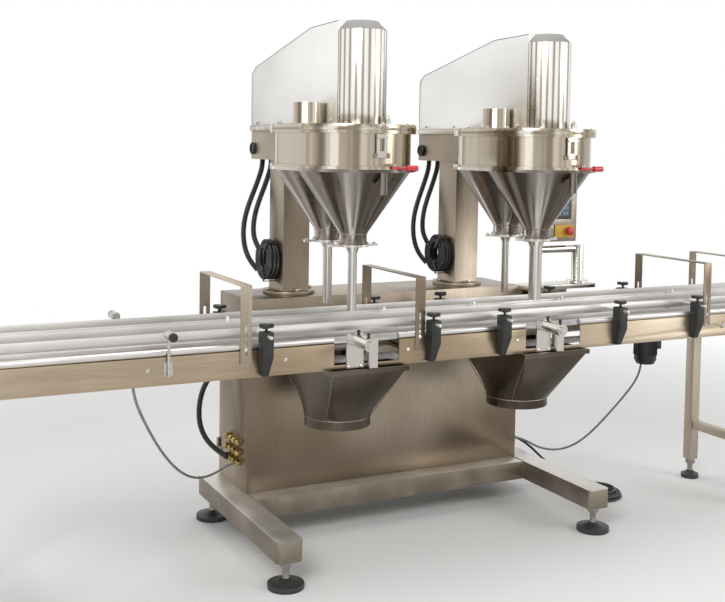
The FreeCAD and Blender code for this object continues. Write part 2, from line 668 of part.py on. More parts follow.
def panel_stand():
    shelf = box("(cabinet_half + shelf_far) / 2", shelf_y, shelf_low,
                "shelf_far - cabinet_half", "shelf_deep", "shelf_thick")
    web = box("(cabinet_half + shelf_far) / 2 - 60", shelf_y,
              f"{shelf_low} - 50", "shelf_far - cabinet_half - 120", "8", "50")
    pole = rod("pole_at", shelf_y, cabinet_top, "pole_radius", f"pole_top - {cabinet_top}")
    collar = rod("pole_at", shelf_y, cabinet_top, "pole_radius + 22", "10")
    arm = rod("riser_at", shelf_y, "panel_arm_high", "panel_arm_radius",
              "pole_at - riser_at", "+X")
    elbow = rod("riser_at", shelf_y, "panel_arm_high - panel_arm_radius - 4", "riser_radius + 6",
                "2 * panel_arm_radius + 6")
    pin = rod("riser_at", shelf_y, "panel_arm_high", "riser_radius - 4",
              "box_low - panel_arm_high + 20")
    return fuse(shelf, web, pole, collar, arm, elbow, pin)


def control_box():
    y = shelf_y
    shell = box(box_x, y, "box_low", "box_right - box_left", "box_deep", "box_high")
    room = box(box_x, y, "box_low + box_wall", "box_right - box_left - 2 * box_wall",
               "box_deep - 2 * box_wall", "box_high - 2 * box_wall")
    screen_hole = box(box_x, f"{y} - box_deep / 2", screen_low, "screen_wide - 12", "20",
                      "screen_high - 12")
    swivel = rod("riser_at", y, "box_low - 14", "riser_radius + 6", "36")
    socket = rod("riser_at", y, "box_low - 20", "riser_radius - 4 + running_gap", "44")
    button_hole = rod(button_x, f"{y} - box_deep / 2 - 1", button_z,
                      "button_stem + running_gap + 1", "10", "+Y")
    return cut(fuse(cut(shell, room), swivel), socket, screen_hole, button_hole)


screen_low = "(box_low + box_high - screen_high - 26)"
button_x = "(box_right - button_left)"
button_z = "(box_low + 48)"
box_face = f"({shelf_y} - box_deep / 2)"


def stop_button():
    """Mushroom head on a stem that slides through the plate."""
    y = f"{box_face} - stop_plate_thick"
    stem = rod(button_x, f"{y} - button_travel - 2", button_z, "button_stem", "24", "+Y")
    head = rod(button_x, f"{y} - button_travel - 2", button_z, "button_radius",
               "button_thick", "-Y")
    dome = cone(button_x, f"{y} - button_travel - 2 - button_thick", button_z,
                "button_radius", "button_radius * 0.6", "5", "-Y")
    return fuse(stem, head, dome)


node("panel_stand", panel_stand())
node("control_box", control_box())
node("touch_screen", box(box_x, f"{box_face} - screen_thick / 2", screen_low, "screen_wide",
                         "screen_thick", "screen_high"))
plate = box(f"{button_x} - stop_plate_left", f"{box_face} - stop_plate_thick / 2",
            f"{button_z} - stop_plate_high / 2", "stop_plate_wide", "stop_plate_thick",
            "stop_plate_high")
plate_hole = rod(button_x, f"{box_face} - stop_plate_thick - 1", button_z,
                 "button_stem + running_gap", "stop_plate_thick + 2", "+Y")
node("stop_plate", cut(plate, plate_hole))
node("stop_button", stop_button())


# Conveyor frame: side panels with rails, ties, wear strips and machine brackets
def side_panel(y, way, windows):
    """C-shaped folded panel whose lips point into the conveyor."""
    long = "2 * conveyor_half"
    web = box("0", f"{y} + {way} * panel_thick / 2", "panel_low", long, "panel_thick",
              "panel_high")
    lips = [box("0", f"{y} + {way} * lip_wide / 2", z, long, "lip_wide", "panel_thick")
            for z in ("panel_low", f"{panel_top} - panel_thick")]
    rail = rod("-conveyor_half", f"{y} + {way} * rail_radius", f"{panel_top} + rail_radius - 0.5",
               "rail_radius", long, "+X")
    shaft_hole = rod(drive_at, f"{y} - 40", belt_axis, "drive_radius + running_gap",
                     "80", "+Y")
    nose_holes = [rod(f"{sign} * {nose_at}", f"{y} - 40",
                      belt_axis, "tie_radius", "80", "+Y") for _, sign in SIDES]
    end_holes = [rod(f"{sign} * (conveyor_half - end_hole_inset)", f"{y} - 40",
                     f"panel_low + panel_high / 2 + {step} * end_hole_pitch / 2",
                     "end_hole_radius", "80", "+Y") for _, sign in SIDES for step in (-1, 1)]
    holes = [shaft_hole, *nose_holes, *end_holes]
    for x in windows:
        holes.append(box(x, f"{y} + {way} * lip_wide / 2", "window_low", "2 * window_half",
                         "4 * lip_wide", "panel_high + 2 * rail_radius"))
    return cut(fuse(web, *lips, rail), *holes)


def tie_places():
    """Places of the round ties between the side panels."""
    count = int(2 * (size("conveyor_half") - size("tie_margin")) / size("tie_pitch"))
    return [f"({step} - {count} / 2) * tie_pitch" for step in range(count + 1)]


def conveyor_frame():
    pieces = [side_panel("panel_front", "1", [x for _, x in HEADS]),
              side_panel("panel_back", "-1", [])]
    for x in tie_places():
        pieces.append(rod(x, "panel_front + panel_thick", f"{belt_axis} + tie_lift", "tie_radius",
                          panel_gap, "+Y"))
    bed_long = f"2 * {nose_at} - 60"
    for _, y in LANES:
        pieces.append(box("0", y, "belt_top - belt_thick - bed_thick", bed_long, "belt_wide",
                          "bed_thick"))
    for _, sign in SIDES:
        pieces.append(box(f"{sign} * mount_inset", "(panel_back + cabinet_front) / 2",
                          "panel_low + 12", "mount_wide", "cabinet_front - panel_back",
                          "mount_high"))
    return group(*pieces)


def belt(y):
    """One lane's chain as a closed loop about both noses."""
    def loop(radius, wide):
        middle = f"{belt_axis} - ({radius})"
        ends = [rod(f"{sign} * {nose_at}", f"{y} - ({wide}) / 2", belt_axis, radius, wide, "+Y")
                for _, sign in SIDES]
        return ends + [box("0", y, middle, f"2 * {nose_at}", wide, f"2 * ({radius})")]
    outer = fuse(*loop("nose_radius + belt_thick", "belt_wide"))
    return cut(outer, *loop("nose_radius", "belt_wide + 2"))


def nose(sign):
    """Fixed round nose that turns the belts at one end."""
    x = f"{sign} * {nose_at}"
    discs = [rod(x, f"{y} - belt_wide / 2", belt_axis, "nose_radius", "belt_wide", "+Y")
             for _, y in LANES]
    axle = rod(x, "panel_front", belt_axis, "tie_radius", "panel_back - panel_front", "+Y")
    return fuse(*discs, axle)


def drive_shaft():
    """Shaft across the frame with a sprocket in each belt loop."""
    shaft = rod(drive_at, "panel_front - 6", belt_axis, "drive_radius",
                "panel_back - panel_front + 6 + gear_wide / 2", "+Y")
    sprockets = [rod(drive_at, f"{y} - sprocket_wide / 2", belt_axis,
                     "nose_radius - bed_thick - 0.5", "sprocket_wide", "+Y") for _, y in LANES]
    return fuse(shaft, *sprockets)


def gear_motor():
    """Gearbox on the rear panel with a motor hanging below it."""
    y = "panel_back + gear_wide / 2"
    gearbox = box(drive_at, y, f"{belt_axis} - gear_high / 2", "gear_wide", "gear_wide",
                  "gear_high")
    bore = rod(drive_at, "panel_back - 1", belt_axis, "drive_radius + running_gap",
               "gear_wide / 2 + 3", "+Y")
    motor = rod(drive_at, y, "motor_low + 20", "motor_radius",
                f"{belt_axis} - gear_high / 2 - motor_low - 20")
    fan = cone(drive_at, y, "motor_low", "motor_radius * 0.8", "motor_radius", "20")
    terminal = box(f"{drive_at} + motor_radius", y, "motor_low + 70", "40", "60", "80")
    return cut(fuse(gearbox, motor, fan, terminal), bore)


def leg_frame(x):
    """Two square legs joined by a crossbar."""
    pieces = []
    for y in ("panel_front - leg_wide / 2", "panel_back + leg_wide / 2"):
        pieces.append(box(x, y, "leg_low", "leg_wide", "leg_wide", f"{panel_top} - leg_low - 6"))
    pieces.append(box(x, panel_middle, "crossbar_low", "leg_wide * 0.8",
                      "panel_back - panel_front", "crossbar_high"))
    return pieces


node("conveyor_frame", conveyor_frame())
node("conveyor_belts", group(*[belt(y) for _, y in LANES]))
node("belt_noses", group(*[nose(sign) for _, sign in SIDES]))
node("drive_shaft", drive_shaft())
node("conveyor_motor", gear_motor())
node("conveyor_legs", group(*leg_frame(leg_left), *leg_frame(leg_right)))

# Places of the clamps, centre posts and guards along the conveyor
CLAMPS = [f"clamp_{place}" for place in ("infeed", "left", "middle", "right", "outfeed")]
CENTRE_POSTS = [f"post_{place}" for place in ("infeed", "left", "middle", "right", "outfeed")]
GUARDS = ("guard_infeed", "guard_middle", "guard_outfeed", "conveyor_half - guard_inset")
rod_level = "(guide_low + guide_high / 2)"


def guide_rail(lane, way, panel):
    """Flat bar beside a lane on rods that slide in the clamps."""
    y = f"({lane} + {way} * guide_out)"
    bar = box("0", f"{y} + {way} * guide_thick / 2", "guide_low", "2 * guide_half",
              "guide_thick", "guide_high")
    reach = f"({way} * ({panel} + {way} * (clamp_deep + 28) - {y}))"
    rods = [rod(x, y, rod_level, "guide_rod", reach, "-Y" if way == "-1" else "+Y")
            for x in CLAMPS]
    return fuse(bar, *rods)


def clamp(x, y, way):
    """Black clamp block outside a panel, tapered at its foot."""
    middle = f"{y} + {way} * clamp_deep / 2"
    body = box(x, middle, "panel_low + clamp_taper", "clamp_wide", "clamp_deep",
               "clamp_top - panel_low - clamp_taper")
    toe = box(x, f"{y} + {way} * clamp_deep / 3", "panel_low + 4", "clamp_wide * 0.6",
              "clamp_deep * 2 / 3", "clamp_taper")
    bore = rod(x, f"{y} - clamp_deep * 2", rod_level, "guide_rod + running_gap",
               "clamp_deep * 4", "+Y")
    return cut(fuse(body, toe), bore)


def knob(x, y, z):
    """Three-lobed hand knob on a short screw."""
    stem = rod(x, y, z, "knob_stem", "knob_lift")
    lobes = [rod(f"({x}) + knob_radius * {0.55 * math.cos(2 * math.pi * k / 3):.4f}",
                 f"({y}) + knob_radius * {0.55 * math.sin(2 * math.pi * k / 3):.4f}",
                 f"({z}) + knob_lift", "knob_radius * 0.55", "knob_high") for k in range(3)]
    hub = rod(x, y, f"({z}) + knob_lift", "knob_radius * 0.6", "knob_high")
    return fuse(stem, hub, *lobes)


def wing_knob(x, y, z):
    """Two-winged hand knob on a short screw."""
    stem = rod(x, y, z, "knob_stem", "knob_lift")
    hub = cone(x, y, f"({z}) + knob_lift", "knob_stem + 2", "knob_stem + 5", "knob_high")
    wings = box(x, y, f"({z}) + knob_lift + 6", "2 * wing_knob", "8", "knob_high")
    return fuse(stem, hub, wings)


node("front_guide_rail", guide_rail("lane_front", "-1", "panel_front"))
node("rear_guide_rail", guide_rail("lane_rear", "1", "panel_back"))
node("rail_clamps", group(*[clamp(x, "panel_front", "-1") for x in CLAMPS],
                          *[clamp(x, "panel_back", "1") for x in CLAMPS]))


def centre_guide():
    """Beam between the lanes with saddles, posts and a guide bar each side."""
    pieces = [box("0", lane_middle, "centre_low", f"2 * {centre_half}", "centre_wide",
                  "centre_high")]
    for x in CENTRE_POSTS:
        pieces.append(box(x, lane_middle, "centre_low + centre_high", "saddle_wide",
                          "centre_wide", "saddle_thick"))
        pieces.append(rod(x, lane_middle, "centre_low + centre_high", "centre_post",
                          "guide_low + guide_high + 14 - centre_low - centre_high"))
        pieces.append(box(x, lane_middle, rod_level + " - 6", "12", "2 * centre_lane", "12"))
    for way in ("-1", "1"):
        pieces.append(box("0", f"{lane_middle} + {way} * centre_lane", "guide_low",
                          f"2 * {centre_half}", "guide_thick", "guide_high"))
    ties = [rod(x, f"{lane_middle} - centre_wide", f"{belt_axis} + tie_lift", "tie_radius",
                "2 * centre_wide", "+Y") for x in tie_places()]
    y = f"{lane_middle} - centre_wide"
    ties.append(rod(drive_at, y, belt_axis, "drive_radius + 3", "2 * centre_wide", "+Y"))
    for _, sign in SIDES:
        ties.append(rod(f"{sign} * {nose_at}", y, belt_axis, "tie_radius", "2 * centre_wide",
                        "+Y"))
    return cut(fuse(*pieces), *ties)


node("centre_guide", centre_guide())
knobs = [knob(x, "panel_front - clamp_deep / 2", "clamp_top") for x in CLAMPS]
knobs += [knob(x, "panel_back + clamp_deep / 2", "clamp_top") for x in CLAMPS]
for x in CENTRE_POSTS:
    for way in ("-1", "1"):
        knobs.append(wing_knob(f"({x}) + {way} * (saddle_wide / 2 - 10)", lane_middle,
                               "centre_low + centre_high + saddle_thick"))
node("hand_knobs", group(*knobs))


def guard(x):
    """Flat strap bent over the conveyor, slotted where it bolts on."""
    front = "(panel_front - guard_thick / 2)"
    back = "(panel_back + guard_thick / 2)"
    front_post = box(x, front, "guard_low", "guard_wide", "guard_thick", "guard_top - guard_low")
    rear_post = box(x, back, "guard_low", "guard_wide", "guard_thick", "guard_top - guard_low")
    top = box(x, panel_middle, "guard_top - guard_thick", "guard_wide",
              "panel_back - panel_front + 2 * guard_thick", "guard_thick")
    slots = [box(x, y, "guard_low + 30", "guard_slot_wide", "3 * guard_thick",
                 "guard_slot_high") for y in (front, back)]
    return cut(fuse(front_post, rear_post, top), *slots)


node("guard_straps", group(*[guard(x) for x in GUARDS]))


# Bottle stops: an air cylinder on a bracket at each window and its stop rod
def stop_cylinder(x):
    at = f"({x}) + stop_left"
    face = "panel_front"
    bracket = box(at, f"{face} - 3", "panel_low + 2", "70", "6",
                  "stop_axis + stop_cylinder - panel_low - 2")
    body = rod(at, f"{face} - 6", "stop_axis", "stop_cylinder", "stop_long", "-Y")
    block = box(f"{at} + 62", f"{face} - stop_block_deep / 2", "window_low - 14",
                "stop_block_wide", "stop_block_deep", "110")
    nut = rod(at, f"{face} - 6 - stop_long", "stop_axis", "stop_cylinder * 0.6", "12", "-Y")
    bore = rod(at, f"{face} - stop_long + 4", "stop_axis", "stop_rod + running_gap",
               "stop_long", "+Y")
    return [cut(fuse(bracket, body, nut), bore), block]


def stop_rod(x):
    """Rod that pushes a finger into the front lane."""
    at = f"({x}) + stop_left"
    start = "(panel_front - stop_long + 12)"
    rod_part = rod(at, start, "stop_axis", "stop_rod", "stop_long + 2", "+Y")
    finger = box(at, f"{start} + stop_long + 5", "finger_low", "finger_wide", "6",
                 "finger_high")
    return fuse(rod_part, finger)


node("stop_cylinders", group(*[piece for _, x in HEADS for piece in stop_cylinder(x)]))
for side, x in HEADS:
    node(f"{side}_stop_rod", stop_rod(x))


# Catch funnels: rectangular mouth under the panels, round collar below
def funnel(x):
    half = size("funnel_half")
    front = size("funnel_front")
    middle = (size("lane_front") + size("lane_rear")) / 2
    back = 2 * middle - front
    top = size("panel_low")
    low = size("collar_low") + size("collar_high")
    wall = size("funnel_wall")

    def skin(inset):
        corners = [(x - half + inset, front + inset), (x + half - inset, front + inset),
                   (x + half - inset, back - inset), (x - half + inset, back - inset)]
        mouth = Part.makePolygon([Vector(a, b, top - size("funnel_rim"))
                                  for a, b in corners + corners[:1]])
        ring = Part.makeCircle(size("collar_radius") - inset, Vector(x, middle, low))
        return Part.makeLoft([mouth, Part.Wire(ring)], True, True)

    lip = size("funnel_lip")
    rim = Part.makeBox(2 * (half + lip), back - front + 2 * lip, size("funnel_rim"),
                       Vector(x - half - lip, front - lip, top - size("funnel_rim")))
    rim_hole = Part.makeBox(2 * (half - wall), back - front - 2 * wall, size("funnel_rim") + 2,
                            Vector(x - half + wall, front + wall, top - size("funnel_rim") - 1))
    collar = Part.makeCylinder(size("collar_radius"), size("collar_high"),
                               Vector(x, middle, size("collar_low")))
    bore = Part.makeCylinder(size("collar_radius") - wall, size("collar_high") + 2,
                             Vector(x, middle, size("collar_low") - 1))
    return skin(0).fuse([rim, collar]).cut([skin(wall), rim_hole, bore]).removeSplitter()


node("catch_funnels", group(*[made(funnel(float(sign) * size("head_pitch")))
                              for _, sign in SIDES]))


# Sensors: two bottle eyes on bent posts, and a level probe on each lid
def eye(x, y, way):
    post = rod(x, f"({y}) + {way} * 8", "panel_low + 30", "sensor_post", "sensor_high - panel_low")
    plate = box(x, f"({y}) + {way} * 1", "panel_low + 30", "30", "2", "50")
    head = rod(x, f"({y}) + {way} * (sensor_long - panel_thick / 3)", "sensor_high + 16",
               "sensor_radius", "sensor_long", "+Y" if way == "-1" else "-Y")
    return fuse(post, plate, head)


def level_probe(x):
    at = (f"({x}) + level_right", "lane_front - level_front")
    return fuse(rod(*at, lid_top, "level_radius", "level_high"),
                cone(*at, f"{lid_top} + level_high", "level_radius * 0.8", "4", "12"))


node("sensors", group(eye("sensor_front_at", "panel_front", "-1"),
                      eye("sensor_rear_at", "panel_back", "1"),
                      *[level_probe(x) for _, x in HEADS]))


# Cord fittings: glands on the cabinet's left side, looms on the columns
def glands():
    pieces = []
    for row in range(3):
        for column in range(4):
            y = f"gland_first + {column} * gland_pitch"
            z = f"gland_low + {row} * gland_pitch"
            pieces.append(rod("-cabinet_half - gland_long", y, z, "gland_radius",
                              "gland_long", "+X"))
    for column in (1, 2):
        pieces.append(rod("cabinet_half", f"gland_first + {column} * gland_pitch",
                          "gland_low - gland_drop", "gland_radius", "gland_long", "+X"))
    return group(*pieces)


node("cable_glands", glands())


def tube(name, points, radius):
    """Cord along straight runs joined by tangent arcs."""
    edges = []
    start = points[0]
    radii = []
    for before, corner, after in zip(points, points[1:], points[2:]):
        back = before - corner
        ahead = after - corner
        half_turn = (math.pi - back.getAngle(ahead)) / 2
        shorter = min(back.Length, ahead.Length)
        reach = 0.45 * shorter
        bend = reach / math.tan(half_turn)
        radii.append(bend)
        first = corner + back.normalize() * reach
        last = corner + ahead.normalize() * reach
        inward = (first + last) * 0.5 - corner
        to_centre = bend / math.cos(half_turn)
        middle = corner + inward.normalize() * (to_centre - bend)
        edges.append(Part.LineSegment(start, first).toShape())
        edges.append(Part.Arc(first, middle, last).toShape())
        start = last
    edges.append(Part.LineSegment(start, points[-1]).toShape())
    path = Part.Wire(edges)
    heading = (points[1] - points[0]).normalize()
    ring = Part.Wire(Part.makeCircle(radius, points[0], heading))
    solid = path.makePipeShell([ring], True, False)
    print(name, "length", round(path.Length), "radii", [round(bend) for bend in radii],
          "volume ratio", round(solid.Volume / (math.pi * radius ** 2 * path.Length), 3))
    return node(name, made(solid))


def shifted(points, x):
    """A route's points, moved along the conveyor."""
    return [Vector(a + x, b, c) for a, b, c in points]


# Conduit routes, measured from the head's middle
OUTER_CONDUIT = [(-52, 498, 1554), (-52, 498, 1526), (-66, 496, 1480), (-92, 490, 1420),
                 (-122, 482, 1355), (-144, 474, 1290), (-152, 466, 1225), (-146, 458, 1165),
                 (-126, 446, 1112), (-100, 424, 1076)]
INNER_CONDUIT = [(-26, 462, 1554), (-26, 462, 1526), (-40, 461, 1480), (-62, 458, 1425),
                 (-86, 454, 1370), (-106, 450, 1310), (-114, 446, 1250), (-108, 440, 1200),
                 (-92, 426, 1166)]


def loom(x):
    """Hank of conduit strapped to the left side of a column."""
    start = f"({x}) - column_wide / 2 - loom_wide"
    at = (f"{column_middle} + 30", "loom_level")
    hank = rod(start, *at, "loom_radius", "loom_wide", "+X")
    return cut(hank, rod(f"{start} - 1", *at, "loom_hole", "loom_wide + 2", "+X"))


node("conduit_looms", group(*[loom(x) for _, x in HEADS]))
for side, sign in SIDES:
    middle = float(sign) * size("head_pitch")
    tube(f"{side}_outer_conduit", shifted(OUTER_CONDUIT, middle), size("conduit_radius"))
    tube(f"{side}_inner_conduit", shifted(INNER_CONDUIT, middle), size("conduit_radius"))

CABINET_CONDUIT = [(-668, 380, 668), (-712, 382, 664), (-758, 388, 626), (-784, 395, 566),
                   (-794, 400, 494), (-788, 398, 424), (-764, 386, 366), (-728, 354, 326),
                   (-694, 314, 302)]
tube("cabinet_conduit", [Vector(*point) for point in CABINET_CONDUIT], size("conduit_radius"))

LEFT_CABLE = [(-1297, -409, 805), (-1292, -405, 775), (-1270, -380, 722), (-1228, -320, 652),
              (-1176, -240, 574), (-1115, -145, 492), (-1047, -45, 412), (-974, 55, 341),
              (-901, 135, 291), (-832, 190, 270), (-768, 222, 276), (-722, 231, 296),
              (-694, 230, 300)]
tube("left_sensor_cable", [Vector(*point) for point in LEFT_CABLE], size("cable_radius"))

RIGHT_CABLE = [(1330, 70, 588), (1326, 70, 556), (1302, 76, 500), (1266, 100, 436),
               (1208, 140, 345), (1134, 180, 248), (1060, 214, 182), (974, 244, 156),
               (888, 264, 172), (812, 272, 214), (752, 272, 240), (694, 272, 240)]
tube("right_sensor_cable", [Vector(*point) for point in RIGHT_CABLE], size("cable_radius"))

MAINS_LEAD = [(694, 314, 240), (735, 314, 240), (785, 306, 224), (842, 290, 184),
              (892, 268, 132), (930, 232, 82), (956, 190, 48), (975, 150, 32), (992, 112, 28)]
tube("mains_lead", [Vector(*point) for point in MAINS_LEAD], size("lead_radius"))
coil_ring = rod("coil_x", "coil_y", "0", "coil_radius", "coil_high")
node("mains_coil", cut(coil_ring, rod("coil_x", "coil_y", "-1", "coil_hole", "coil_high + 2")))

# Check every object, then write one file for each node
doc.recompute()
for item in doc.Objects:
    if "Invalid" in item.State or "Error" in item.State:
        raise RuntimeError(f"{item.Name} {item.Label} failed: {item.State}")
os.makedirs("parts", exist_ok=True)
for name, item in nodes.items():
    shape = item.Shape
    if shape.isNull() or not shape.isValid() or not shape.Solids:
        raise RuntimeError(f"{name} has no valid solid")
    shape.exportStep(f"parts/{name}.step")
print(len(nodes), "nodes,", sum(len(item.Shape.Solids) for item in nodes.values()), "solids")
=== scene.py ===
# %% [markdown]
# # Auger powder filler
# The real machine drops powder through two filling heads into bottles that stand on a
# two-lane conveyor. Its shapes come from a fixed CAD model, so nothing here is fitted
# by eye: every piece goes where the model says. The scene then adds what a CAD solid
# lacks, which is rounded edges, fasteners, chain links, ribbed hoses and finishes.

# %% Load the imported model
import json
import math
from functools import partialmethod

import bmesh
import bpy
from mathutils import Matrix, Vector


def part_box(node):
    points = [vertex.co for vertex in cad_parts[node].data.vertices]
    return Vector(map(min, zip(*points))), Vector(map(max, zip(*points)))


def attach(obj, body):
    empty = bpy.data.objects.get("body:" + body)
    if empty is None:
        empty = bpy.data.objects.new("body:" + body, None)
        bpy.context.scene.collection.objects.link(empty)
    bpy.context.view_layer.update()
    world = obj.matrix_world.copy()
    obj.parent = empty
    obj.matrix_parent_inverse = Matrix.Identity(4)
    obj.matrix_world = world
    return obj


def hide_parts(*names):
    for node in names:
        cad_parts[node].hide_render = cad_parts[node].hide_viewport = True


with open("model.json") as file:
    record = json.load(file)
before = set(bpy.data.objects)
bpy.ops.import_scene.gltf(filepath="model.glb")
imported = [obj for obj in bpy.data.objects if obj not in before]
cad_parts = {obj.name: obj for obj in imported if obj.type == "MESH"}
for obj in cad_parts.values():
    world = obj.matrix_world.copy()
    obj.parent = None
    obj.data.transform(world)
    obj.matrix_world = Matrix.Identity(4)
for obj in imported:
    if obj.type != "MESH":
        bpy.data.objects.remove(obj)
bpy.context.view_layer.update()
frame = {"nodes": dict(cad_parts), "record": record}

# %% [markdown]
# The photograph was taken from the left, a little above the conveyor. A camera that is
# aimed at a target stands level, but the real one was tipped down and rolled by less
# than a degree. So its axes are written as the columns of a matrix, which keeps that
# roll. A shift then moves the picture as a cropped photograph does, without turning the
# upright lines.

# %% Camera
PITCH, YAW, ROLL = (math.radians(angle) for angle in (3.319, 26.925, 0.9055))
LENS_MM, SHIFT = 53.466, (0.0100, -0.1308)
CAMERA_SPOT = (-2.2503, -3.8996, 1.6274)


def in_scene(name, data):
    """A new object that holds the data, linked to the scene."""
    made = bpy.data.objects.new(name, data)
    bpy.context.scene.collection.objects.link(made)
    return made


def photo_camera():
    forward = Vector((math.sin(YAW) * math.cos(PITCH), math.cos(YAW) * math.cos(PITCH),
                      -math.sin(PITCH)))
    right = Vector((math.cos(YAW), -math.sin(YAW), 0))
    above = right.cross(forward)
    side = right * math.cos(ROLL) + above * math.sin(ROLL)
    top = above * math.cos(ROLL) - right * math.sin(ROLL)
    data = bpy.data.cameras.new("photo_camera")
    data.sensor_width = 36
    data.lens = LENS_MM
    data.shift_x, data.shift_y = SHIFT
    camera = in_scene("photo_camera", data)
    camera.matrix_world = Matrix((side, top, -forward)).transposed().to_4x4()
    camera.location = CAMERA_SPOT
    bpy.context.scene.camera = camera


photo_camera()
print("camera at", CAMERA_SPOT, "lens in mm", LENS_MM)

# %% [markdown]
# A material can be wired by hand in the node editor, but in a script its maths reads
# best as sums. `Value` wraps an output socket, and an operator on it adds a Math node.
# `Graph` makes every other node through one method that takes its type, its settings and
# what goes into its sockets. The same two classes serve the materials and the Geometry
# Nodes trees further down.


# %% Sockets as Python values
class Value:
    """An output socket that takes part in Python sums."""

    def __init__(self, graph, socket):
        self.graph = graph
        self.socket = socket

    def maths(self, operation, *others):
        """A Math node on this value and any others."""
        return self.graph.calculate(operation, self, *others)

    def __rsub__(self, other):
        return self.graph.calculate("SUBTRACT", other, self)

    __add__ = partialmethod(maths, "ADD")
    __sub__ = partialmethod(maths, "SUBTRACT")
    __mul__ = __rmul__ = partialmethod(maths, "MULTIPLY")
    __truediv__ = partialmethod(maths, "DIVIDE")
    __lt__ = partialmethod(maths, "LESS_THAN")
    __gt__ = partialmethod(maths, "GREATER_THAN")


class Graph:
    """A node tree whose nodes all come from one method."""

    def __init__(self, tree):
        self.tree = tree

    def add(self, kind, settings=None, inputs=None, output=0):
        node = self.tree.nodes.new(kind)
        for name, value in (settings or {}).items():
            if name == "stops":
                points = node.color_ramp.elements
                while len(points) < len(value):
                    points.new(1.0)
                for point, (place, colour) in zip(points, value):
                    point.position, point.color = place, colour
            else:
                setattr(node, name, value)
        for name, value in (inputs or {}).items():
            self.feed(node.inputs[name], value)
        return Value(self, node.outputs[output])

    def calculate(self, operation, *terms):
        """A Math node, whose sockets are numbered in order."""
        return self.add("ShaderNodeMath", {"operation": operation}, dict(enumerate(terms)))

    def feed(self, socket, value):
        """Link a value to a socket, or set the socket's own number or colour."""
        if isinstance(value, Value):
            self.tree.links.new(value.socket, socket)
        else:
            socket.default_value = value


# %% [markdown]
# A finish could be a painted image, but an image needs the mesh laid out flat and blurs
# up close. Here each finish is worked out from a point's own place on the object, so
# brush lines and scuffs have their real size and stay put when a part moves. `Finish`
# starts from Blender's usual shader and offers the few nodes that all finishes share.


# %% Materials on the object's own coordinates
class Finish(Graph):
    """A procedural material that reads Object coordinates."""

    def __init__(self, name, metallic=0.0):
        self.material = bpy.data.materials.new(name)
        self.material.use_nodes = True
        super().__init__(self.material.node_tree)
        self.shader = self.tree.nodes["Principled BSDF"]
        self.shader.inputs["Metallic"].default_value = metallic
        self.spot = self.add("ShaderNodeTexCoord", output="Object")
        self.facing = self.add("ShaderNodeTexCoord", output="Normal")

    def grain(self, scale, stretch=(1, 1, 1), detail=3, source=None):
        """Noise between 0 and 1, drawn out where stretch is small."""
        along = self.add("ShaderNodeMapping", {},
                         {"Vector": source or self.spot, "Scale": stretch})
        return self.add("ShaderNodeTexNoise", {},
                        {"Vector": along, "Scale": scale, "Detail": detail})

    def fit(self, value, low, high, bottom=0.0, top=1.0):
        """Stretch a range of values onto another, with clean ends."""
        return self.add("ShaderNodeMapRange", {},
                        {"Value": value, "From Min": low, "From Max": high,
                         "To Min": bottom, "To Max": top})

    def mix(self, share, first, second):
        """Blend two colours."""
        return self.add("ShaderNodeMix", {"data_type": "RGBA"},
                        {0: share, 6: first, 7: second}, 2)

    def axis(self, name, source=None):
        """One coordinate of the spot on the object."""
        return self.add("ShaderNodeSeparateXYZ", {}, {0: source or self.spot}, name)

    def bump(self, height, distance, strength=0.5):
        return self.add("ShaderNodeBump", {},
                        {"Height": height, "Distance": distance, "Strength": strength})

    def wear(self, **sockets):
        """Feed the shader's own sockets and give back the material."""
        for name, value in sockets.items():
            self.feed(self.shader.inputs[name.replace("_", " ")], value)
        return self.material


def rgb(red, green, blue):
    return (red, green, blue, 1.0)


# %% [markdown]
# Stainless sheet is never one grey. Rolling and brushing leave fine lines in one
# direction, and hands leave soft patches. `sheet_steel` mixes two tones with a slow
# cloud, which stands partly for those patches and partly for a painted reflection of a
# warm room: its brown cast and its darker and brighter blotches. It then draws very long
# noise across it for the brush lines, which also move the roughness and a slight bump.
# The rolled lip on the conveyor's panels is brighter than their faces, so `bright_above`
# gives the height where it starts.


# %% Brushed sheet steel
def sheet_steel(name, shade, light, lines=(0.03, 1, 1), cloud=1.6, smooth=0.3, rough=0.46,
                bright_above=9.0):
    made = Finish(name, metallic=1.0)
    # The slow cloud: soft patches, and a painted reflection of a warm room with its blotches.
    patch = made.fit(made.grain(cloud, detail=2), 0.36, 0.64)
    brush = made.grain(420, lines, detail=2)
    smear = made.fit(made.grain(9, detail=4), 0.45, 0.75)
    tone = made.mix(patch, shade, light)
    tone = made.mix(made.axis("Z") > bright_above, tone, rgb(0.66, 0.645, 0.62))
    tone = made.mix(made.fit(brush, 0.3, 0.7, 0.0, 0.22), tone, rgb(0.09, 0.08, 0.07))
    gloss = made.fit(patch * 0.5 + brush * 0.3 + smear * 0.3, 0.2, 0.8, smooth, rough)
    return made.wear(Base_Color=tone, Roughness=gloss, Normal=made.bump(brush, 0.0002, 0.35))


brushed = sheet_steel("brushed_steel", rgb(0.26, 0.21, 0.155), rgb(0.66, 0.60, 0.52))
frame_sheet = sheet_steel("frame_steel", rgb(0.22, 0.17, 0.12), rgb(0.54, 0.465, 0.37),
                          lines=(1, 1, 0.03), cloud=1.1, rough=0.5)
panel_sheet = sheet_steel("panel_steel", rgb(0.32, 0.24, 0.155), rgb(0.66, 0.56, 0.43),
                          cloud=0.8, bright_above=0.9015)
# The catch funnels take painted shade: tones far darker than stainless, for the shade under the
# heads.
funnel_painted_shade = sheet_steel("funnel_steel", rgb(0.055, 0.042, 0.031), rgb(0.15, 0.122, 0.096),
                           lines=(1, 1, 0.03), cloud=3.0, smooth=0.26, rough=0.42)
print("sheet steels", [made.name for made in (brushed, frame_sheet, panel_sheet, funnel_painted_shade)])
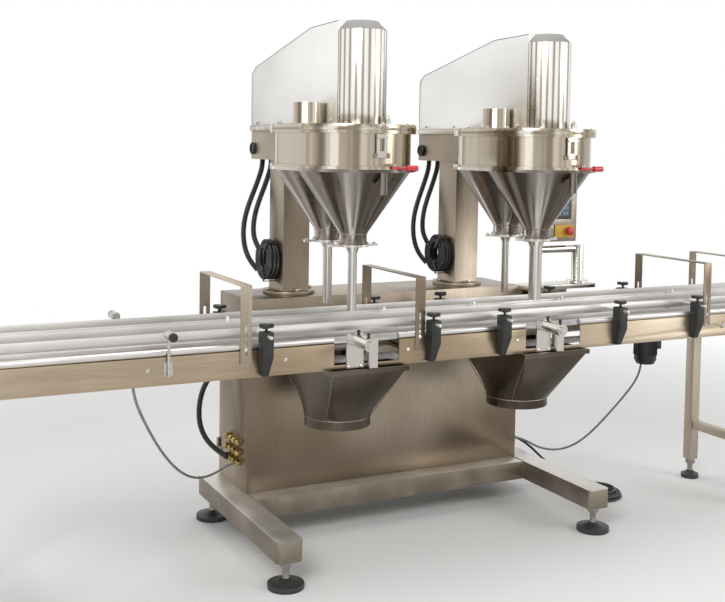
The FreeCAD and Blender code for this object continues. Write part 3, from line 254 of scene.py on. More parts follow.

# %% [markdown]
# The cones and nozzles are polished, so a real one shows the dark room and bright
# windows as upright streaks. A plain studio has neither. So the streaks are painted
# reflections in the colour instead: noise that reads the surface's own normal stays the
# same along each straight line of a cone and changes round it, wherever the camera
# stands. A last, optional share paints a brown dark reflection onto the faces that point
# forwards, and thins it towards both sides.


# %% Polished steel
def polished_steel(name, stops, spread=2.6, dark_reflection=0.0):
    made = Finish(name, metallic=1.0)
    # Painted reflections: upright streaks from noise on the surface's normal.
    reflection_streak = made.grain(spread, (1, 1, 0.3), detail=2, source=made.facing)
    tone = made.add("ShaderNodeValToRGB", {"stops": stops}, {"Fac": reflection_streak})
    # Painted dark reflection on the faces that point forwards, thinner towards both sides.
    if dark_reflection:
        sideways = made.axis("X", made.facing)
        dark_reflection_share = (made.fit(sideways, -0.72, -0.2, 0.0, dark_reflection)
                      - made.fit(sideways, 0.45, 0.9, 0.0, dark_reflection * 0.6))
        tone = made.mix(dark_reflection_share, tone, rgb(0.075, 0.062, 0.050))
    film = made.grain(35, (1, 1, 0.08), detail=3)
    gloss = made.fit(film, 0.3, 0.75, 0.1, 0.3)
    return made.wear(Base_Color=tone, Roughness=gloss, Normal=made.bump(film, 0.0004, 0.2))


polished = polished_steel("polished_steel",
                          [(0.30, rgb(0.10, 0.085, 0.07)), (0.46, rgb(0.26, 0.22, 0.19)),
                           (0.55, rgb(0.40, 0.36, 0.32)), (0.64, rgb(0.86, 0.84, 0.81))],
                          dark_reflection=0.72)
band_steel = polished_steel("band_steel",
                            [(0.30, rgb(0.12, 0.092, 0.062)), (0.44, rgb(0.27, 0.225, 0.17)),
                             (0.54, rgb(0.43, 0.37, 0.29)), (0.66, rgb(0.82, 0.76, 0.66))],
                            spread=3.6)
bright_bar = polished_steel("bright_bar",
                            [(0.30, rgb(0.34, 0.31, 0.27)), (0.5, rgb(0.62, 0.59, 0.55)),
                             (0.65, rgb(0.92, 0.91, 0.89))])

# %% [markdown]
# Guide rails are satin aluminium, drawn lengthwise. The base beams' upper faces are
# painted paler and flatter than their sides, as a painted highlight of the light from above.


# %% Satin aluminium and the base beams
def satin_finish():
    made = Finish("satin_aluminium", metallic=0.85)
    drawn = made.grain(300, (0.02, 1, 1), detail=2)
    haze = made.fit(made.grain(2.2, detail=3), 0.35, 0.7)
    tone = made.mix(haze, rgb(0.52, 0.50, 0.47), rgb(0.78, 0.76, 0.73))
    tone = made.mix(made.fit(drawn, 0.3, 0.7, 0.0, 0.12), tone, rgb(0.25, 0.24, 0.23))
    gloss = made.fit(drawn, 0.3, 0.7, 0.4, 0.52)
    return made.wear(Base_Color=tone, Roughness=gloss, Normal=made.bump(drawn, 0.0002, 0.25))


def beam_finish():
    made = Finish("beam_steel", metallic=0.8)
    # Painted highlight: faces that point up take the paler tone.
    upward = made.fit(made.axis("Z", made.facing), 0.5, 0.9)
    brush = made.grain(300, (1, 0.03, 1), detail=2)
    smear = made.fit(made.grain(7, detail=4), 0.4, 0.75)
    side = made.mix(smear, rgb(0.22, 0.185, 0.145), rgb(0.36, 0.31, 0.25))
    wear_and_highlight_tone = made.mix(smear, rgb(0.70, 0.67, 0.62), rgb(0.84, 0.82, 0.78))
    tone = made.mix(upward, side, wear_and_highlight_tone)
    tone = made.mix(made.fit(brush, 0.3, 0.7, 0.0, 0.2), tone, rgb(0.12, 0.10, 0.08))
    gloss = made.fit(brush * 0.5 + smear * 0.5, 0.2, 0.8, 0.36, 0.52)
    return made.wear(Base_Color=tone, Roughness=gloss, Normal=made.bump(brush, 0.0002, 0.35))


satin, beam_steel = satin_finish(), beam_finish()

# %% [markdown]
# The motor cover's sides are matt and nearly white, its round front is polished and
# carries narrow upright strips of painted reflection, and a duller chamfer closes the top
# of that front. Three materials on one mesh would need its faces sorted, while one
# material can hold all three. Object coordinates say where on the cover a point lies and
# at which angle about the round front, and the normal says which faces slope upward.


# %% Motor cover
HEAD_X = 0.424  # each filling head stands this far from the middle
NOSE_Y = -0.335  # the middle of each cover's round front
NOSE_TOP = 2.0445  # where the chamfer begins
REFLECTION_STRIPS = 24  # upright strips in a full turn


def cover_finish():
    made = Finish("cover_steel", metallic=1.0)
    x, y = made.axis("X"), made.axis("Y")
    nose = (y < NOSE_Y - 0.001) * (made.axis("Z") < NOSE_TOP)
    cap = (made.axis("Z", made.facing) > 0.3) * (y < NOSE_Y + 0.035)
    brush = made.grain(380, (1, 0.03, 1), detail=2)
    side = made.mix(made.fit(made.grain(1.6, (1, 0.4, 1), detail=3), 0.38, 0.62),
                    rgb(0.76, 0.745, 0.715), rgb(0.93, 0.92, 0.895))
    across = x.maths("ABSOLUTE") - HEAD_X
    angle = across.maths("ARCTAN2", y * -1 + NOSE_Y)
    # Painted reflections: light and dark upright strips round the polished front.
    reflection_strip = made.fit((angle * REFLECTION_STRIPS + 1.2).maths("SINE"), -0.85, 0.1)
    facet_reflection = made.mix(reflection_strip, rgb(0.36, 0.32, 0.27), rgb(0.90, 0.87, 0.82))
    tone = made.mix(nose, side, facet_reflection)
    tone = made.mix(cap, tone, rgb(0.27, 0.265, 0.25))
    gloss = made.fit(brush, 0.3, 0.7, 0.34, 0.46) - nose * 0.14 + cap * 0.25
    return made.wear(Base_Color=tone, Roughness=gloss, Metallic=1.0 - cap * 0.85,
                     Normal=made.bump(brush, 0.0002, 0.3))


cover_sheet = cover_finish()
print("motor cover", len(cover_sheet.node_tree.nodes), "nodes")

# %% [markdown]
# The remaining finishes are smaller: moulded black plastic with a fine grain, paint,
# brass, cable sheaths and the pale chain plastic. A single colour would look like a toy,
# so they share one recipe, in which a slow cloud shifts the colour a little and a fine
# grain gives the surface its tooth.


# %% Plastic, paint and brass
def grained(name, colour, wear_and_highlight_tone, rough=(0.4, 0.6), grain=600, metallic=0.0, coat=0.0,
            cloud=14):
    made = Finish(name, metallic)
    patch = made.fit(made.grain(cloud), 0.35, 0.7)
    fine = made.grain(grain, detail=2)
    made.shader.inputs["Coat Weight"].default_value = coat
    return made.wear(Base_Color=made.mix(patch, colour, wear_and_highlight_tone),
                     Roughness=made.fit(patch * 0.6 + fine * 0.4, 0.3, 0.7, *rough),
                     Normal=made.bump(fine, 0.0002))


black_plastic = grained("black_plastic", rgb(0.008, 0.008, 0.0085), rgb(0.021, 0.020, 0.019))
hose_black = grained("hose_black", rgb(0.016, 0.016, 0.018), rgb(0.045, 0.045, 0.047),
                     rough=(0.32, 0.5), cloud=30)
grey_cable = grained("grey_cable", rgb(0.17, 0.17, 0.165), rgb(0.25, 0.245, 0.235), cloud=40)
black_cable = grained("black_cable", rgb(0.02, 0.021, 0.02), rgb(0.05, 0.052, 0.05), cloud=40)
chain_plastic = grained("chain_plastic", rgb(0.60, 0.61, 0.60), rgb(0.74, 0.74, 0.72),
                        rough=(0.28, 0.45), grain=300)
nose_plastic = grained("nose_plastic", rgb(0.70, 0.70, 0.67), rgb(0.80, 0.80, 0.76))
motor_paint = grained("motor_paint", rgb(0.012, 0.013, 0.013), rgb(0.03, 0.031, 0.03),
                      rough=(0.3, 0.5), grain=250)
drive_grey = grained("drive_grey", rgb(0.36, 0.37, 0.39), rgb(0.48, 0.49, 0.51), metallic=0.8)
zinc_paint = grained("zinc_paint", rgb(0.66, 0.64, 0.58), rgb(0.76, 0.74, 0.68))
grip_red = grained("grip_red", rgb(0.42, 0.012, 0.02), rgb(0.60, 0.03, 0.04),
                   rough=(0.15, 0.3), coat=0.4)
button_red = grained("button_red", rgb(0.60, 0.02, 0.012), rgb(0.72, 0.05, 0.03),
                     rough=(0.2, 0.35), coat=0.3)
plate_yellow = grained("plate_yellow", rgb(0.72, 0.42, 0.04), rgb(0.85, 0.55, 0.08))
brass = grained("brass", rgb(0.27, 0.19, 0.06), rgb(0.58, 0.45, 0.18), rough=(0.24, 0.45),
                metallic=1.0, cloud=60)

# %% [markdown]
# Two kinds of small node hold two materials each: a steel stem in a rubber foot, and a
# black lens on a bright barrel. Each could be cut into two pieces, but the place on the
# object already tells them apart, so a mask on its coordinates mixes colour, metal and
# gloss together.


# %% Feet and sensors
def foot_parts():
    """Rubber pads, with a steel stem and nut above them."""
    made = Finish("foot_rubber")
    stem = made.axis("Z") > 0.037
    fine = made.grain(180)
    speck = made.fit(fine, 0.4, 0.7)
    rubber = made.mix(speck, rgb(0.022, 0.026, 0.024), rgb(0.0418, 0.0494, 0.0456))
    steel = made.mix(speck, rgb(0.30, 0.28, 0.25), rgb(0.375, 0.35, 0.3125))
    return made.wear(Base_Color=made.mix(stem, rubber, steel), Metallic=stem,
                     Roughness=made.fit(speck * 0.5 + stem * -0.3, -0.3, 0.5, 0.22, 0.65),
                     Normal=made.bump(fine, 0.0002))


def sensor_parts():
    """Bright barrels and posts with a black lens or plug at each outer end."""
    made = Finish("sensor_parts")
    low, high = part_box("sensors")
    y, z = made.axis("Y"), made.axis("Z")
    dark = ((y < low[1] + 0.012) + (y > high[1] - 0.012)) * (z > 0.961) * (z < 1.2)
    scuff = made.fit(made.grain(90), 0.4, 0.7)
    tone = made.mix(scuff, rgb(0.44, 0.43, 0.40), rgb(0.66, 0.65, 0.61))
    return made.wear(Base_Color=made.mix(dark, tone, rgb(0.016, 0.016, 0.017)),
                     Metallic=(1.0 - dark) * 0.9, Roughness=made.fit(scuff, 0, 1, 0.26, 0.42))


foot_finish, sensor_finish = foot_parts(), sensor_parts()
print("masked finishes", foot_finish.name, sensor_finish.name)

# %% [markdown]
# Light comes from three large soft lamps, as in a plain studio. A brighter world would
# whiten the background too, but it would bleach the object. So the world is white to the
# camera and in reflections, where steel shows it, and lights the object less than that.
# The floor is matt near the machine, where it keeps the shadow, and turns to plain white
# far away, so that no horizon shows.


# %% Studio
def soft_lamp(name, place, target, wide, watts):
    data = bpy.data.lights.new(name, "AREA")
    data.shape, data.size, data.energy = "DISK", wide, watts
    lamp = in_scene(name, data)
    lamp.location = place
    lamp.rotation_euler = (Vector(target) - Vector(place)).to_track_quat("-Z", "Y").to_euler()


soft_lamp("window_left", (-3.6, -3.4, 3.8), (0, 0, 1.0), 2.6, 140)
soft_lamp("fill_right", (3.8, -3.6, 2.6), (0.4, 0, 0.9), 2.4, 60)
soft_lamp("ceiling", (0.2, 0.4, 4.6), (0, 0, 0.8), 3.4, 75)


def looking_ray(graph):
    """1 where the camera, a reflection or clear plastic looks, 0 where light is gathered."""
    camera, glossy, through = (graph.add("ShaderNodeLightPath", output=f"Is {kind} Ray")
                               for kind in ("Camera", "Glossy", "Transmission"))
    return camera.maths("MAXIMUM", glossy).maths("MAXIMUM", through)


def pale_world():
    world = bpy.data.worlds.new("pale_world")
    bpy.context.scene.world = world
    world.use_nodes = True
    sky = Graph(world.node_tree)
    sky.feed(world.node_tree.nodes["Background"].inputs["Strength"],
             looking_ray(sky) * 0.55 + 0.45)
    sky.feed(world.node_tree.nodes["Background"].inputs["Color"], rgb(1, 1, 1))


def pale_floor():
    work = bmesh.new()
    bmesh.ops.create_grid(work, x_segments=2, y_segments=2, size=40)
    mesh = bpy.data.meshes.new("floor")
    work.to_mesh(mesh)
    work.free()
    floor = in_scene("floor", mesh)
    made = Finish("floor_paint")
    x, y = made.axis("X"), made.axis("Y")
    far = made.fit((x * x + y * y).maths("SQRT"), 2.4, 5.5)
    white = made.add("ShaderNodeEmission", {}, {"Color": rgb(1, 1, 1), "Strength": 1.0})
    made.wear(Base_Color=rgb(0.86, 0.86, 0.85), Roughness=0.8)
    paint = Value(made, made.shader.outputs[0])
    both = made.add("ShaderNodeMixShader", {}, {0: far * looking_ray(made), 1: paint, 2: white})
    made.feed(made.tree.nodes["Material Output"].inputs["Surface"], both)
    mesh.materials.append(made.material)


pale_world()
pale_floor()
bpy.context.scene.view_settings.view_transform = "Standard"

# %% [markdown]
# Cords come first among the pieces, because their room is checked. A cord could follow
# its route point by point, but that looks like bent wire. Each is one smooth NURBS line
# instead, with the points of the model's route as its controls, so it sags and bends as
# real cable does. `order_u` is set after the points, or the line would fall back to
# straight runs.

# %% Cord routes
HEADS = (("left", -HEAD_X), ("right", HEAD_X))
OUTER_HOSE = [(-52, 498, 1554), (-52, 498, 1526), (-66, 496, 1480), (-92, 490, 1420),
              (-122, 482, 1355), (-144, 474, 1290), (-152, 466, 1225), (-146, 458, 1165),
              (-126, 446, 1112), (-100, 424, 1076)]
INNER_HOSE = [(-26, 462, 1554), (-26, 462, 1526), (-40, 461, 1480), (-62, 458, 1425),
              (-86, 454, 1370), (-106, 450, 1310), (-114, 446, 1250), (-108, 440, 1200),
              (-92, 426, 1166)]
CABINET_HOSE = [(-668, 380, 668), (-712, 382, 664), (-758, 388, 626), (-784, 395, 566),
                (-794, 400, 494), (-788, 398, 424), (-764, 386, 366), (-728, 354, 326),
                (-694, 314, 302)]
LEFT_CABLE = [(-1297, -409, 805), (-1292, -405, 775), (-1270, -380, 722), (-1228, -320, 652),
              (-1176, -240, 574), (-1115, -145, 492), (-1047, -45, 412), (-974, 55, 341),
              (-901, 135, 291), (-832, 190, 270), (-768, 222, 276), (-722, 231, 296),
              (-694, 230, 300)]
RIGHT_CABLE = [(1330, 70, 588), (1326, 70, 556), (1302, 76, 500), (1266, 100, 436),
               (1208, 140, 345), (1134, 180, 248), (1060, 214, 182), (974, 244, 156),
               (888, 264, 172), (812, 272, 214), (752, 272, 240), (694, 272, 240)]
MAINS_LEAD = [(694, 314, 240), (735, 314, 240), (785, 306, 224), (842, 290, 184),
              (892, 268, 132), (930, 232, 84), (956, 190, 52), (975, 150, 37), (994, 110, 34),
              (1012, 88, 34)]


def in_metres(points, shift=0.0):
    return [Vector((x / 1000 + shift, y / 1000, z / 1000)) for x, y, z in points]


def runs_curve(name, runs, kind="POLY"):
    """A curve object with one spline for each (points, closed) pair."""
    curve = bpy.data.curves.new(name, "CURVE")
    curve.dimensions = "3D"
    for points, closed in runs:
        spline = curve.splines.new(kind)
        spline.points.add(len(points) - 1)
        for control, point in zip(spline.points, points):
            control.co = (*point, 1)
        spline.use_cyclic_u = closed
    return in_scene(name, curve)


def cord_line(name, points):
    """An open NURBS spline through a cord's route."""
    cord = runs_curve(name, [(points, False)], "NURBS")
    spline = cord.data.splines[0]
    spline.order_u = 3
    spline.use_endpoint_u = True
    spline.resolution_u = 6
    return cord


def line_points(cord):
    """Points read from the smooth line of a cord with no bevel."""
    mesh = bpy.data.meshes.new_from_object(cord)
    points = [vertex.co.copy() for vertex in mesh.vertices]
    bpy.data.meshes.remove(mesh)
    return points


def run_length(points):
    return sum((b - a).length for a, b in zip(points, points[1:]))


def place(piece, slot, finish, *stands_for, body="machine"):
    """Give a piece its finish and body, and hide the CAD nodes that it stands for. The slot is
    not used.
    """
    piece.data.materials.clear()
    piece.data.materials.append(finish)
    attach(piece, body)
    if stands_for:
        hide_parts(*stands_for)
    return piece


# %% [markdown]
# The thin cables have plain smooth sheaths. A tube could be swept along each of them, but
# the curve's own bevel is enough and keeps the line easy to edit. The spare length of
# the mains lead lies in a flat coil on the floor. Its turns are more points of the same
# line, and they lie beside and on each other, a little over a diameter apart.


# %% Smooth cables and the mains lead
COIL_STEPS = 14  # route points in one turn
COIL_GAP = 0.0135  # from the middle of one turn to the next


def cable(name, points, radius, slot, finish, also=()):
    cord = cord_line(name + "_line", points)
    length = run_length(line_points(cord))
    cord.data.bevel_depth = radius
    cord.data.bevel_resolution = 3
    cord.data.use_fill_caps = True
    place(cord, slot, finish, name, *also)
    print(name, "length", round(length, 3))
    return cord


def mains_coil(turns, x=1.030, y=0.0):
    """One top turn, then two layers of three: out, down and back in."""
    points = []
    for step in range(int(turns * COIL_STEPS)):
        turn = (step + 0.6) / COIL_STEPS
        angle = math.radians(80) - 2 * math.pi * turn
        if turn < 1:
            radius, level = 0.083 - COIL_GAP * turn, 0.034
        elif turn < 4:
            radius, level = 0.0695 + COIL_GAP * (turn - 1), 0.0205
        else:
            radius, level = 0.110 - COIL_GAP * (turn - 4), 0.007
        if int(turn) in (1, 4):  # ease down from the layer above
            level += COIL_GAP * (1 - min(1.0, (turn % 1) / 0.25))
        points.append(Vector((x + radius * math.cos(angle), y + radius * math.sin(angle),
                              level)))
    return points


cable("left_sensor_cable", in_metres(LEFT_CABLE), 0.005, "cable_grey", grey_cable)
cable("right_sensor_cable", in_metres(RIGHT_CABLE), 0.005, "cable_grey", grey_cable)
cable("mains_lead", in_metres(MAINS_LEAD) + mains_coil(6.9), 0.006, "cable_black", black_cable,
      also=("mains_coil",))

# %% [markdown]
# What repeats or follows a path could be copied in a Python loop, but Geometry Nodes do
# it faster and keep its sizes in one place. A `Recipe` is a tree with named inputs. It
# grows on a small host mesh, ends in Realize Instances and Set Material, and its result
# is read back as a plain mesh, so that nothing depends on a live modifier.


# %% Geometry Nodes recipes
class Recipe(Graph):
    """A Geometry Nodes tree with named inputs."""

    def __init__(self, name, **inputs):
        super().__init__(bpy.data.node_groups.new(name, "GeometryNodeTree"))
        self.sockets = {}
        for label, kind in {"Geometry": "Geometry", **inputs, "Finish": "Material"}.items():
            made = self.tree.interface.new_socket(label, in_out="INPUT",
                                                  socket_type="NodeSocket" + kind)
            self.sockets[label] = made.identifier
        self.tree.interface.new_socket("Geometry", in_out="OUTPUT",
                                       socket_type="NodeSocketGeometry")
        self.source = self.tree.nodes.new("NodeGroupInput")

    def given(self, label):
        return Value(self, self.source.outputs[label])

    def close(self, geometry):
        real = self.add("GeometryNodeRealizeInstances", {}, {"Geometry": geometry})
        done = self.add("GeometryNodeSetMaterial", {},
                        {"Geometry": real, "Material": self.given("Finish")})
        self.feed(self.tree.nodes.new("NodeGroupOutput").inputs[0], done)

    def grow(self, name, mesh, used=(), **values):
        """Run the tree on a host mesh and keep the result as a plain mesh."""
        host = in_scene(name + "_host", mesh)
        modifier = host.modifiers.new("Recipe", "NODES")
        modifier.node_group = self.tree
        for label, value in values.items():
            modifier[self.sockets[label]] = value
        graph = bpy.context.evaluated_depsgraph_get()
        grown = bpy.data.meshes.new_from_object(host.evaluated_get(graph))
        for spent in (host, *used):
            bpy.data.objects.remove(spent)
        return smooth(in_scene(name, grown))


def smooth(piece):
    """Shade curved faces smooth and keep the edges that are sharper than 35 degrees."""
    mesh = piece.data
    if "custom_normal" in mesh.attributes:
        mesh.attributes.remove(mesh.attributes["custom_normal"])
    mesh.polygons.foreach_set("use_smooth", [True] * len(mesh.polygons))
    mesh.set_sharp_from_angle(angle=math.radians(35))
    return piece


# %% [markdown]
# Corrugated conduit is a tube whose radius rises and falls along its length. A bump in
# the material could fake the ribs, but their outline would stay straight. So the tree
# takes the cord's smooth line, cuts it into short equal steps and lets a cosine of the
# length set the radius, and the ribs stay evenly spaced round every bend.

# %% Ribbed conduit
ribbed = Recipe("ribbed_conduit", **{"Route": "Object", "Radius": "Float",
                                     "Rib pitch": "Float", "Rib depth": "Float",
                                     "Sides": "Int"})
route = ribbed.add("GeometryNodeObjectInfo", {}, {"Object": ribbed.given("Route")}, "Geometry")
steps = ribbed.add("GeometryNodeResampleCurve", {"mode": "LENGTH"},
                   {"Curve": route, "Length": ribbed.given("Rib pitch") / 4})
along = ribbed.add("GeometryNodeSplineParameter", output="Length")
wave = (along * (2 * math.pi) / ribbed.given("Rib pitch")).maths("COSINE")
swell = 1.0 - ribbed.given("Rib depth") * (0.5 - wave * 0.5)
ring = ribbed.add("GeometryNodeCurvePrimitiveCircle", {},
                  {"Resolution": ribbed.given("Sides"), "Radius": 1.0})
ribbed.close(ribbed.add("GeometryNodeCurveToMesh", {},
                        {"Curve": steps, "Profile Curve": ring, "Fill Caps": True,
                         "Scale": ribbed.given("Radius") * swell}))


def tube(name, route, radius, pitch, depth, sides):
    """A ribbed or plain tube along a curve object, which is used up."""
    return ribbed.grow(name, bpy.data.meshes.new(name), used=[route],
                       **{"Route": route, "Radius": radius, "Rib pitch": pitch,
                          "Rib depth": depth, "Sides": sides})


def conduit(name, points, radius, sides=18, pitch=0.006, nodes=None):
    cord = cord_line(name + "_line", points)
    path = line_points(cord)
    piece = tube(name + "_ribbed", cord, radius, pitch, 0.16, sides)
    place(piece, "conduit_black", hose_black, *(nodes or [name]))
    print(name, "length", round(run_length(path), 3), "faces", len(piece.data.polygons))


HANK_GAP = 0.0168  # from one turn to the next


def hank_middle(x):
    return Vector((x - 0.0865, 0.3445, 1.130))


def hank(x, turns=9, steps=16):
    """Turns of thin conduit, three deep and three wide, beside a column."""
    points = []
    for step in range(turns * steps + 1):
        turn = step / steps
        whole = min(int(turn), turns - 1)
        layer, row = divmod(whole, 3)
        slide = min(1.0, max(0.0, (turn - whole - 0.6) / 0.4))
        side = 1 if layer % 2 == 0 else -1
        last = row == 2
        across = side * (row - 1 + (0 if last else slide)) * HANK_GAP
        radius = 0.0805 - HANK_GAP * (layer + (slide if last and layer < 2 else 0))
        angle = math.radians(24) - 2 * math.pi * turn
        points.append(hank_middle(x) + Vector((across, radius * math.cos(angle),
                                               radius * math.sin(angle))))
    return points


for side, x in HEADS:
    conduit(f"{side}_outer_conduit", in_metres(OUTER_HOSE, x), 0.012)
    conduit(f"{side}_inner_conduit", in_metres(INNER_HOSE, x), 0.012)
    conduit(f"{side}_hank", hank(x), 0.008, sides=12, pitch=0.005,
            nodes=["conduit_looms"])
conduit("cabinet_conduit", in_metres(CABINET_HOSE), 0.012)

# %% [markdown]
# The CAD nodes have the right shapes, but a solid's edges are perfectly sharp, and real
# sheet and castings never are. A Bevel node in the material could soften their shading,
# but the exported mesh would stay sharp. So `dress` copies a node, merges its loose
# triangles into whole faces and rounds every edge by a millimetre or so. On thin sheet a
# wide rounding folds over itself, so the width is halved until no triangle is turned.

# %% Dress the CAD nodes
BODY_OF = {node: body for body, members in frame["record"]["behaviour"]["bodies"].items()
           for node in members}
SLOT_OF = {part["node"]: part["material_slot"] for part in frame["record"]["subparts"]}
LEAST_FLAW = 1e-6  # square metres of turned triangles that nobody could see


def turned_over(mesh):
    """Area of the triangles that lie the wrong way round in their own face."""
    mesh.calc_loop_triangles()
    return sum(part.area for part in mesh.loop_triangles
               if part.normal.dot(mesh.polygons[part.polygon_index].normal) < 0.5)


def merged(node, whole_faces):
    """The node's triangles welded together, and joined into whole faces if asked."""
    work = bmesh.new()
    work.from_mesh(frame["nodes"][node].data)
    bmesh.ops.remove_doubles(work, verts=work.verts, dist=1e-5)
    if whole_faces:
        bmesh.ops.dissolve_limit(work, angle_limit=math.radians(0.6), verts=work.verts,
                                 edges=work.edges)
    mesh = bpy.data.meshes.new(node + "_dressed")
    work.to_mesh(mesh)
    work.free()
    return mesh


def rounded(piece, edge):
    """Round the edges, less where the sheet is too thin for the full width."""
    rounding = piece.modifiers.new("Rounded edges", "BEVEL")
    rounding.segments, rounding.use_clamp_overlap = 2, False
    rounding.limit_method, rounding.angle_limit = "ANGLE", math.radians(40)
    for width in (edge, edge / 2, edge / 4, edge / 8):
        rounding.width = width
        graph = bpy.context.evaluated_depsgraph_get()
        mesh = bpy.data.meshes.new_from_object(piece.evaluated_get(graph))
        if turned_over(mesh) < LEAST_FLAW:
            break
    piece.modifiers.clear()
    piece.data = mesh
    return width


def dress(node, finish, edge):
    mesh = merged(node, True)
    if turned_over(mesh) > LEAST_FLAW:
        mesh = merged(node, False)
    piece = in_scene(node + "_dressed", mesh)
    width = rounded(piece, edge) if edge else 0
    smooth(piece)
    print(node, "faces", len(piece.data.polygons), "edge in mm", round(width * 1000, 2),
          "turned area in mm2", round(turned_over(piece.data) * 1e6, 2))
    return place(piece, SLOT_OF[node], finish, node, body=BODY_OF[node])


for node, finish, edge in (
        ("base_frame", beam_steel, 0.002), ("cabinet", frame_sheet, 0.0012),
        ("left_column", frame_sheet, 0.002), ("right_column", frame_sheet, 0.002),
        ("left_rear_door", frame_sheet, 0.001), ("right_rear_door", frame_sheet, 0.001),
        ("conveyor_legs", frame_sheet, 0.002), ("guard_straps", frame_sheet, 0.0008),
        ("left_lid", band_steel, 0.0015), ("right_lid", band_steel, 0.0015),
        ("left_motor_cover", cover_sheet, 0.0006), ("right_motor_cover", cover_sheet, 0.0006),
        ("conveyor_frame", panel_sheet, 0.0006), ("control_box", brushed, 0.002),
        ("panel_stand", bright_bar, 0.001),
        ("levelling_feet", foot_finish, 0.0012), ("column_bolts", bright_bar, 0.0008),
        ("stop_plate", plate_yellow, 0.0008), ("centre_guide", satin, 0.0008),
        ("front_guide_rail", satin, 0.0008), ("rear_guide_rail", satin, 0.0008),
        ("electrical_plate", zinc_paint, 0.001), ("drive_units", drive_grey, 0.0015)):
    dress(node, finish, edge)

# %% [markdown]
# Round parts, such as cones, shafts and knobs, have many narrow faces. Rounding their
# rims would split those faces and cost far more than it shows, so these nodes are merged
# and shaded smooth, and keep their edges as they are.

# %% Smooth the round CAD nodes
for node, finish in (
        ("left_band", band_steel), ("right_band", band_steel), ("left_cones", polished),
        ("right_cones", polished), ("nozzles", bright_bar), ("catch_funnels", funnel_painted_shade),
        ("left_latch", bright_bar), ("right_latch", bright_bar), ("belt_noses", nose_plastic),
        ("drive_shaft", bright_bar), ("sensors", sensor_finish), ("left_stop_rod", bright_bar),
        ("right_stop_rod", bright_bar), ("stop_cylinders", bright_bar),
        ("left_front_auger", bright_bar), ("left_rear_auger", bright_bar),
        ("right_front_auger", bright_bar), ("right_rear_auger", bright_bar),
        ("left_toggle", grip_red), ("right_toggle", grip_red), ("stop_button", button_red),
        ("hand_knobs", black_plastic), ("conveyor_motor", motor_paint)):
    dress(node, finish, 0)

# %% [markdown]
# Each lane is a table-top chain: flat plastic plates, hinged in a row, that run over a
# round nose at each end. An array that follows a curve would bend each plate. So one
# plate is drawn, and Geometry Nodes set it on evenly spaced points of a closed path,
# turned to follow that path about the cross axis only, and every plate stays flat.

# %% Chain plates along the lanes
LANES = (("front", -0.287), ("rear", -0.069))
PLATES = 195  # in one closed chain

chain = Recipe("chain_plates", Path="Object", Plate="Object", Count="Int")
path = chain.add("GeometryNodeObjectInfo", {}, {"Object": chain.given("Path")}, "Geometry")
even = chain.add("GeometryNodeResampleCurve", {"mode": "COUNT"},
                 {"Curve": path, "Count": chain.given("Count")})
spots = chain.add("GeometryNodeCurveToPoints", {"mode": "EVALUATED"}, {"Curve": even}, "Points")
tangent = Value(chain, spots.socket.node.outputs["Tangent"])
turn = chain.add("FunctionNodeAlignRotationToVector", {"axis": "X", "pivot_axis": "Y"},
                 {"Vector": tangent})
plate = chain.add("GeometryNodeObjectInfo", {}, {"Object": chain.given("Plate")}, "Geometry")
chain.close(chain.add("GeometryNodeInstanceOnPoints", {},
                      {"Points": spots, "Instance": plate, "Rotation": turn}))


def block(work, low, high, edge=0.0, segments=2):
    """Box between two corners, with its edges rounded."""
    low, high = Vector(low), Vector(high)
    made = bmesh.ops.create_cube(work, size=1)["verts"]
    for vertex in made:
        vertex.co = [(a + b) / 2 + c * (b - a) for a, b, c in zip(low, high, vertex.co)]
    if edge:
        edges = {line for vertex in made for line in vertex.link_edges}
        bmesh.ops.bevel(work, geom=list(edges), offset=edge, segments=segments,
                        affect="EDGES", profile=0.5)


def shape(name, work):
    """A finished bmesh as an object."""
    mesh = bpy.data.meshes.new(name)
    work.to_mesh(mesh)
    work.free()
    return smooth(in_scene(name, mesh))


def chain_plate():
    work = bmesh.new()
    block(work, (-0.0183, -0.0548, -0.0022), (0.0183, 0.0548, 0.0022), 0.0009, 1)
    block(work, (-0.0022, -0.030, -0.0052), (0.0022, 0.030, -0.0022))
    return shape("chain_plate", work)


def lane_path(y, ends=1.796, axis=0.851, radius=0.0368):
    """Closed path round both noses, top run first."""
    points = [(way * (ends + radius * math.sin(a)), y, axis + way * radius * math.cos(a))
              for way in (1, -1) for a in (math.pi * k / 12 for k in range(13))]
    return runs_curve("lane_path", [(points[-1:] + points[:-1], True)])


for lane, y in LANES:
    single, loop = chain_plate(), lane_path(y)
    plates = chain.grow(f"{lane}_chain", bpy.data.meshes.new(lane), used=[single, loop],
                        Path=loop, Plate=single, Count=PLATES)
    place(plates, "belt_plastic", chain_plastic, "conveyor_belts")
    print(lane, "chain faces", len(plates.data.polygons))

# %% [markdown]
# Screws, glands and fins are the same small shape at many places. They could be joined
# from copies one by one, but then each place needs its own turn worked out. Here the host
# mesh holds one vertex for each, with the way that it faces stored as an attribute, and
# the tree turns the copies.


# %% Fasteners
def scatter_recipe(name, axis, pivot):
    """One shape on every host vertex, turned about pivot so that axis faces its way."""
    recipe = Recipe(name, Shape="Object")
    way = recipe.add("GeometryNodeInputNamedAttribute", {"data_type": "FLOAT_VECTOR"},
                     {"Name": "way"})
    turned = recipe.add("FunctionNodeAlignRotationToVector",
                        {"axis": axis, "pivot_axis": pivot}, {"Vector": way})
    one = recipe.add("GeometryNodeObjectInfo", {}, {"Object": recipe.given("Shape")},
                     "Geometry")
    recipe.close(recipe.add("GeometryNodeInstanceOnPoints", {},
                            {"Points": recipe.given("Geometry"), "Instance": one,
                             "Rotation": turned}))
    return recipe


facing_out = scatter_recipe("facing_out", "Z", "AUTO")
standing = scatter_recipe("standing", "X", "Z")


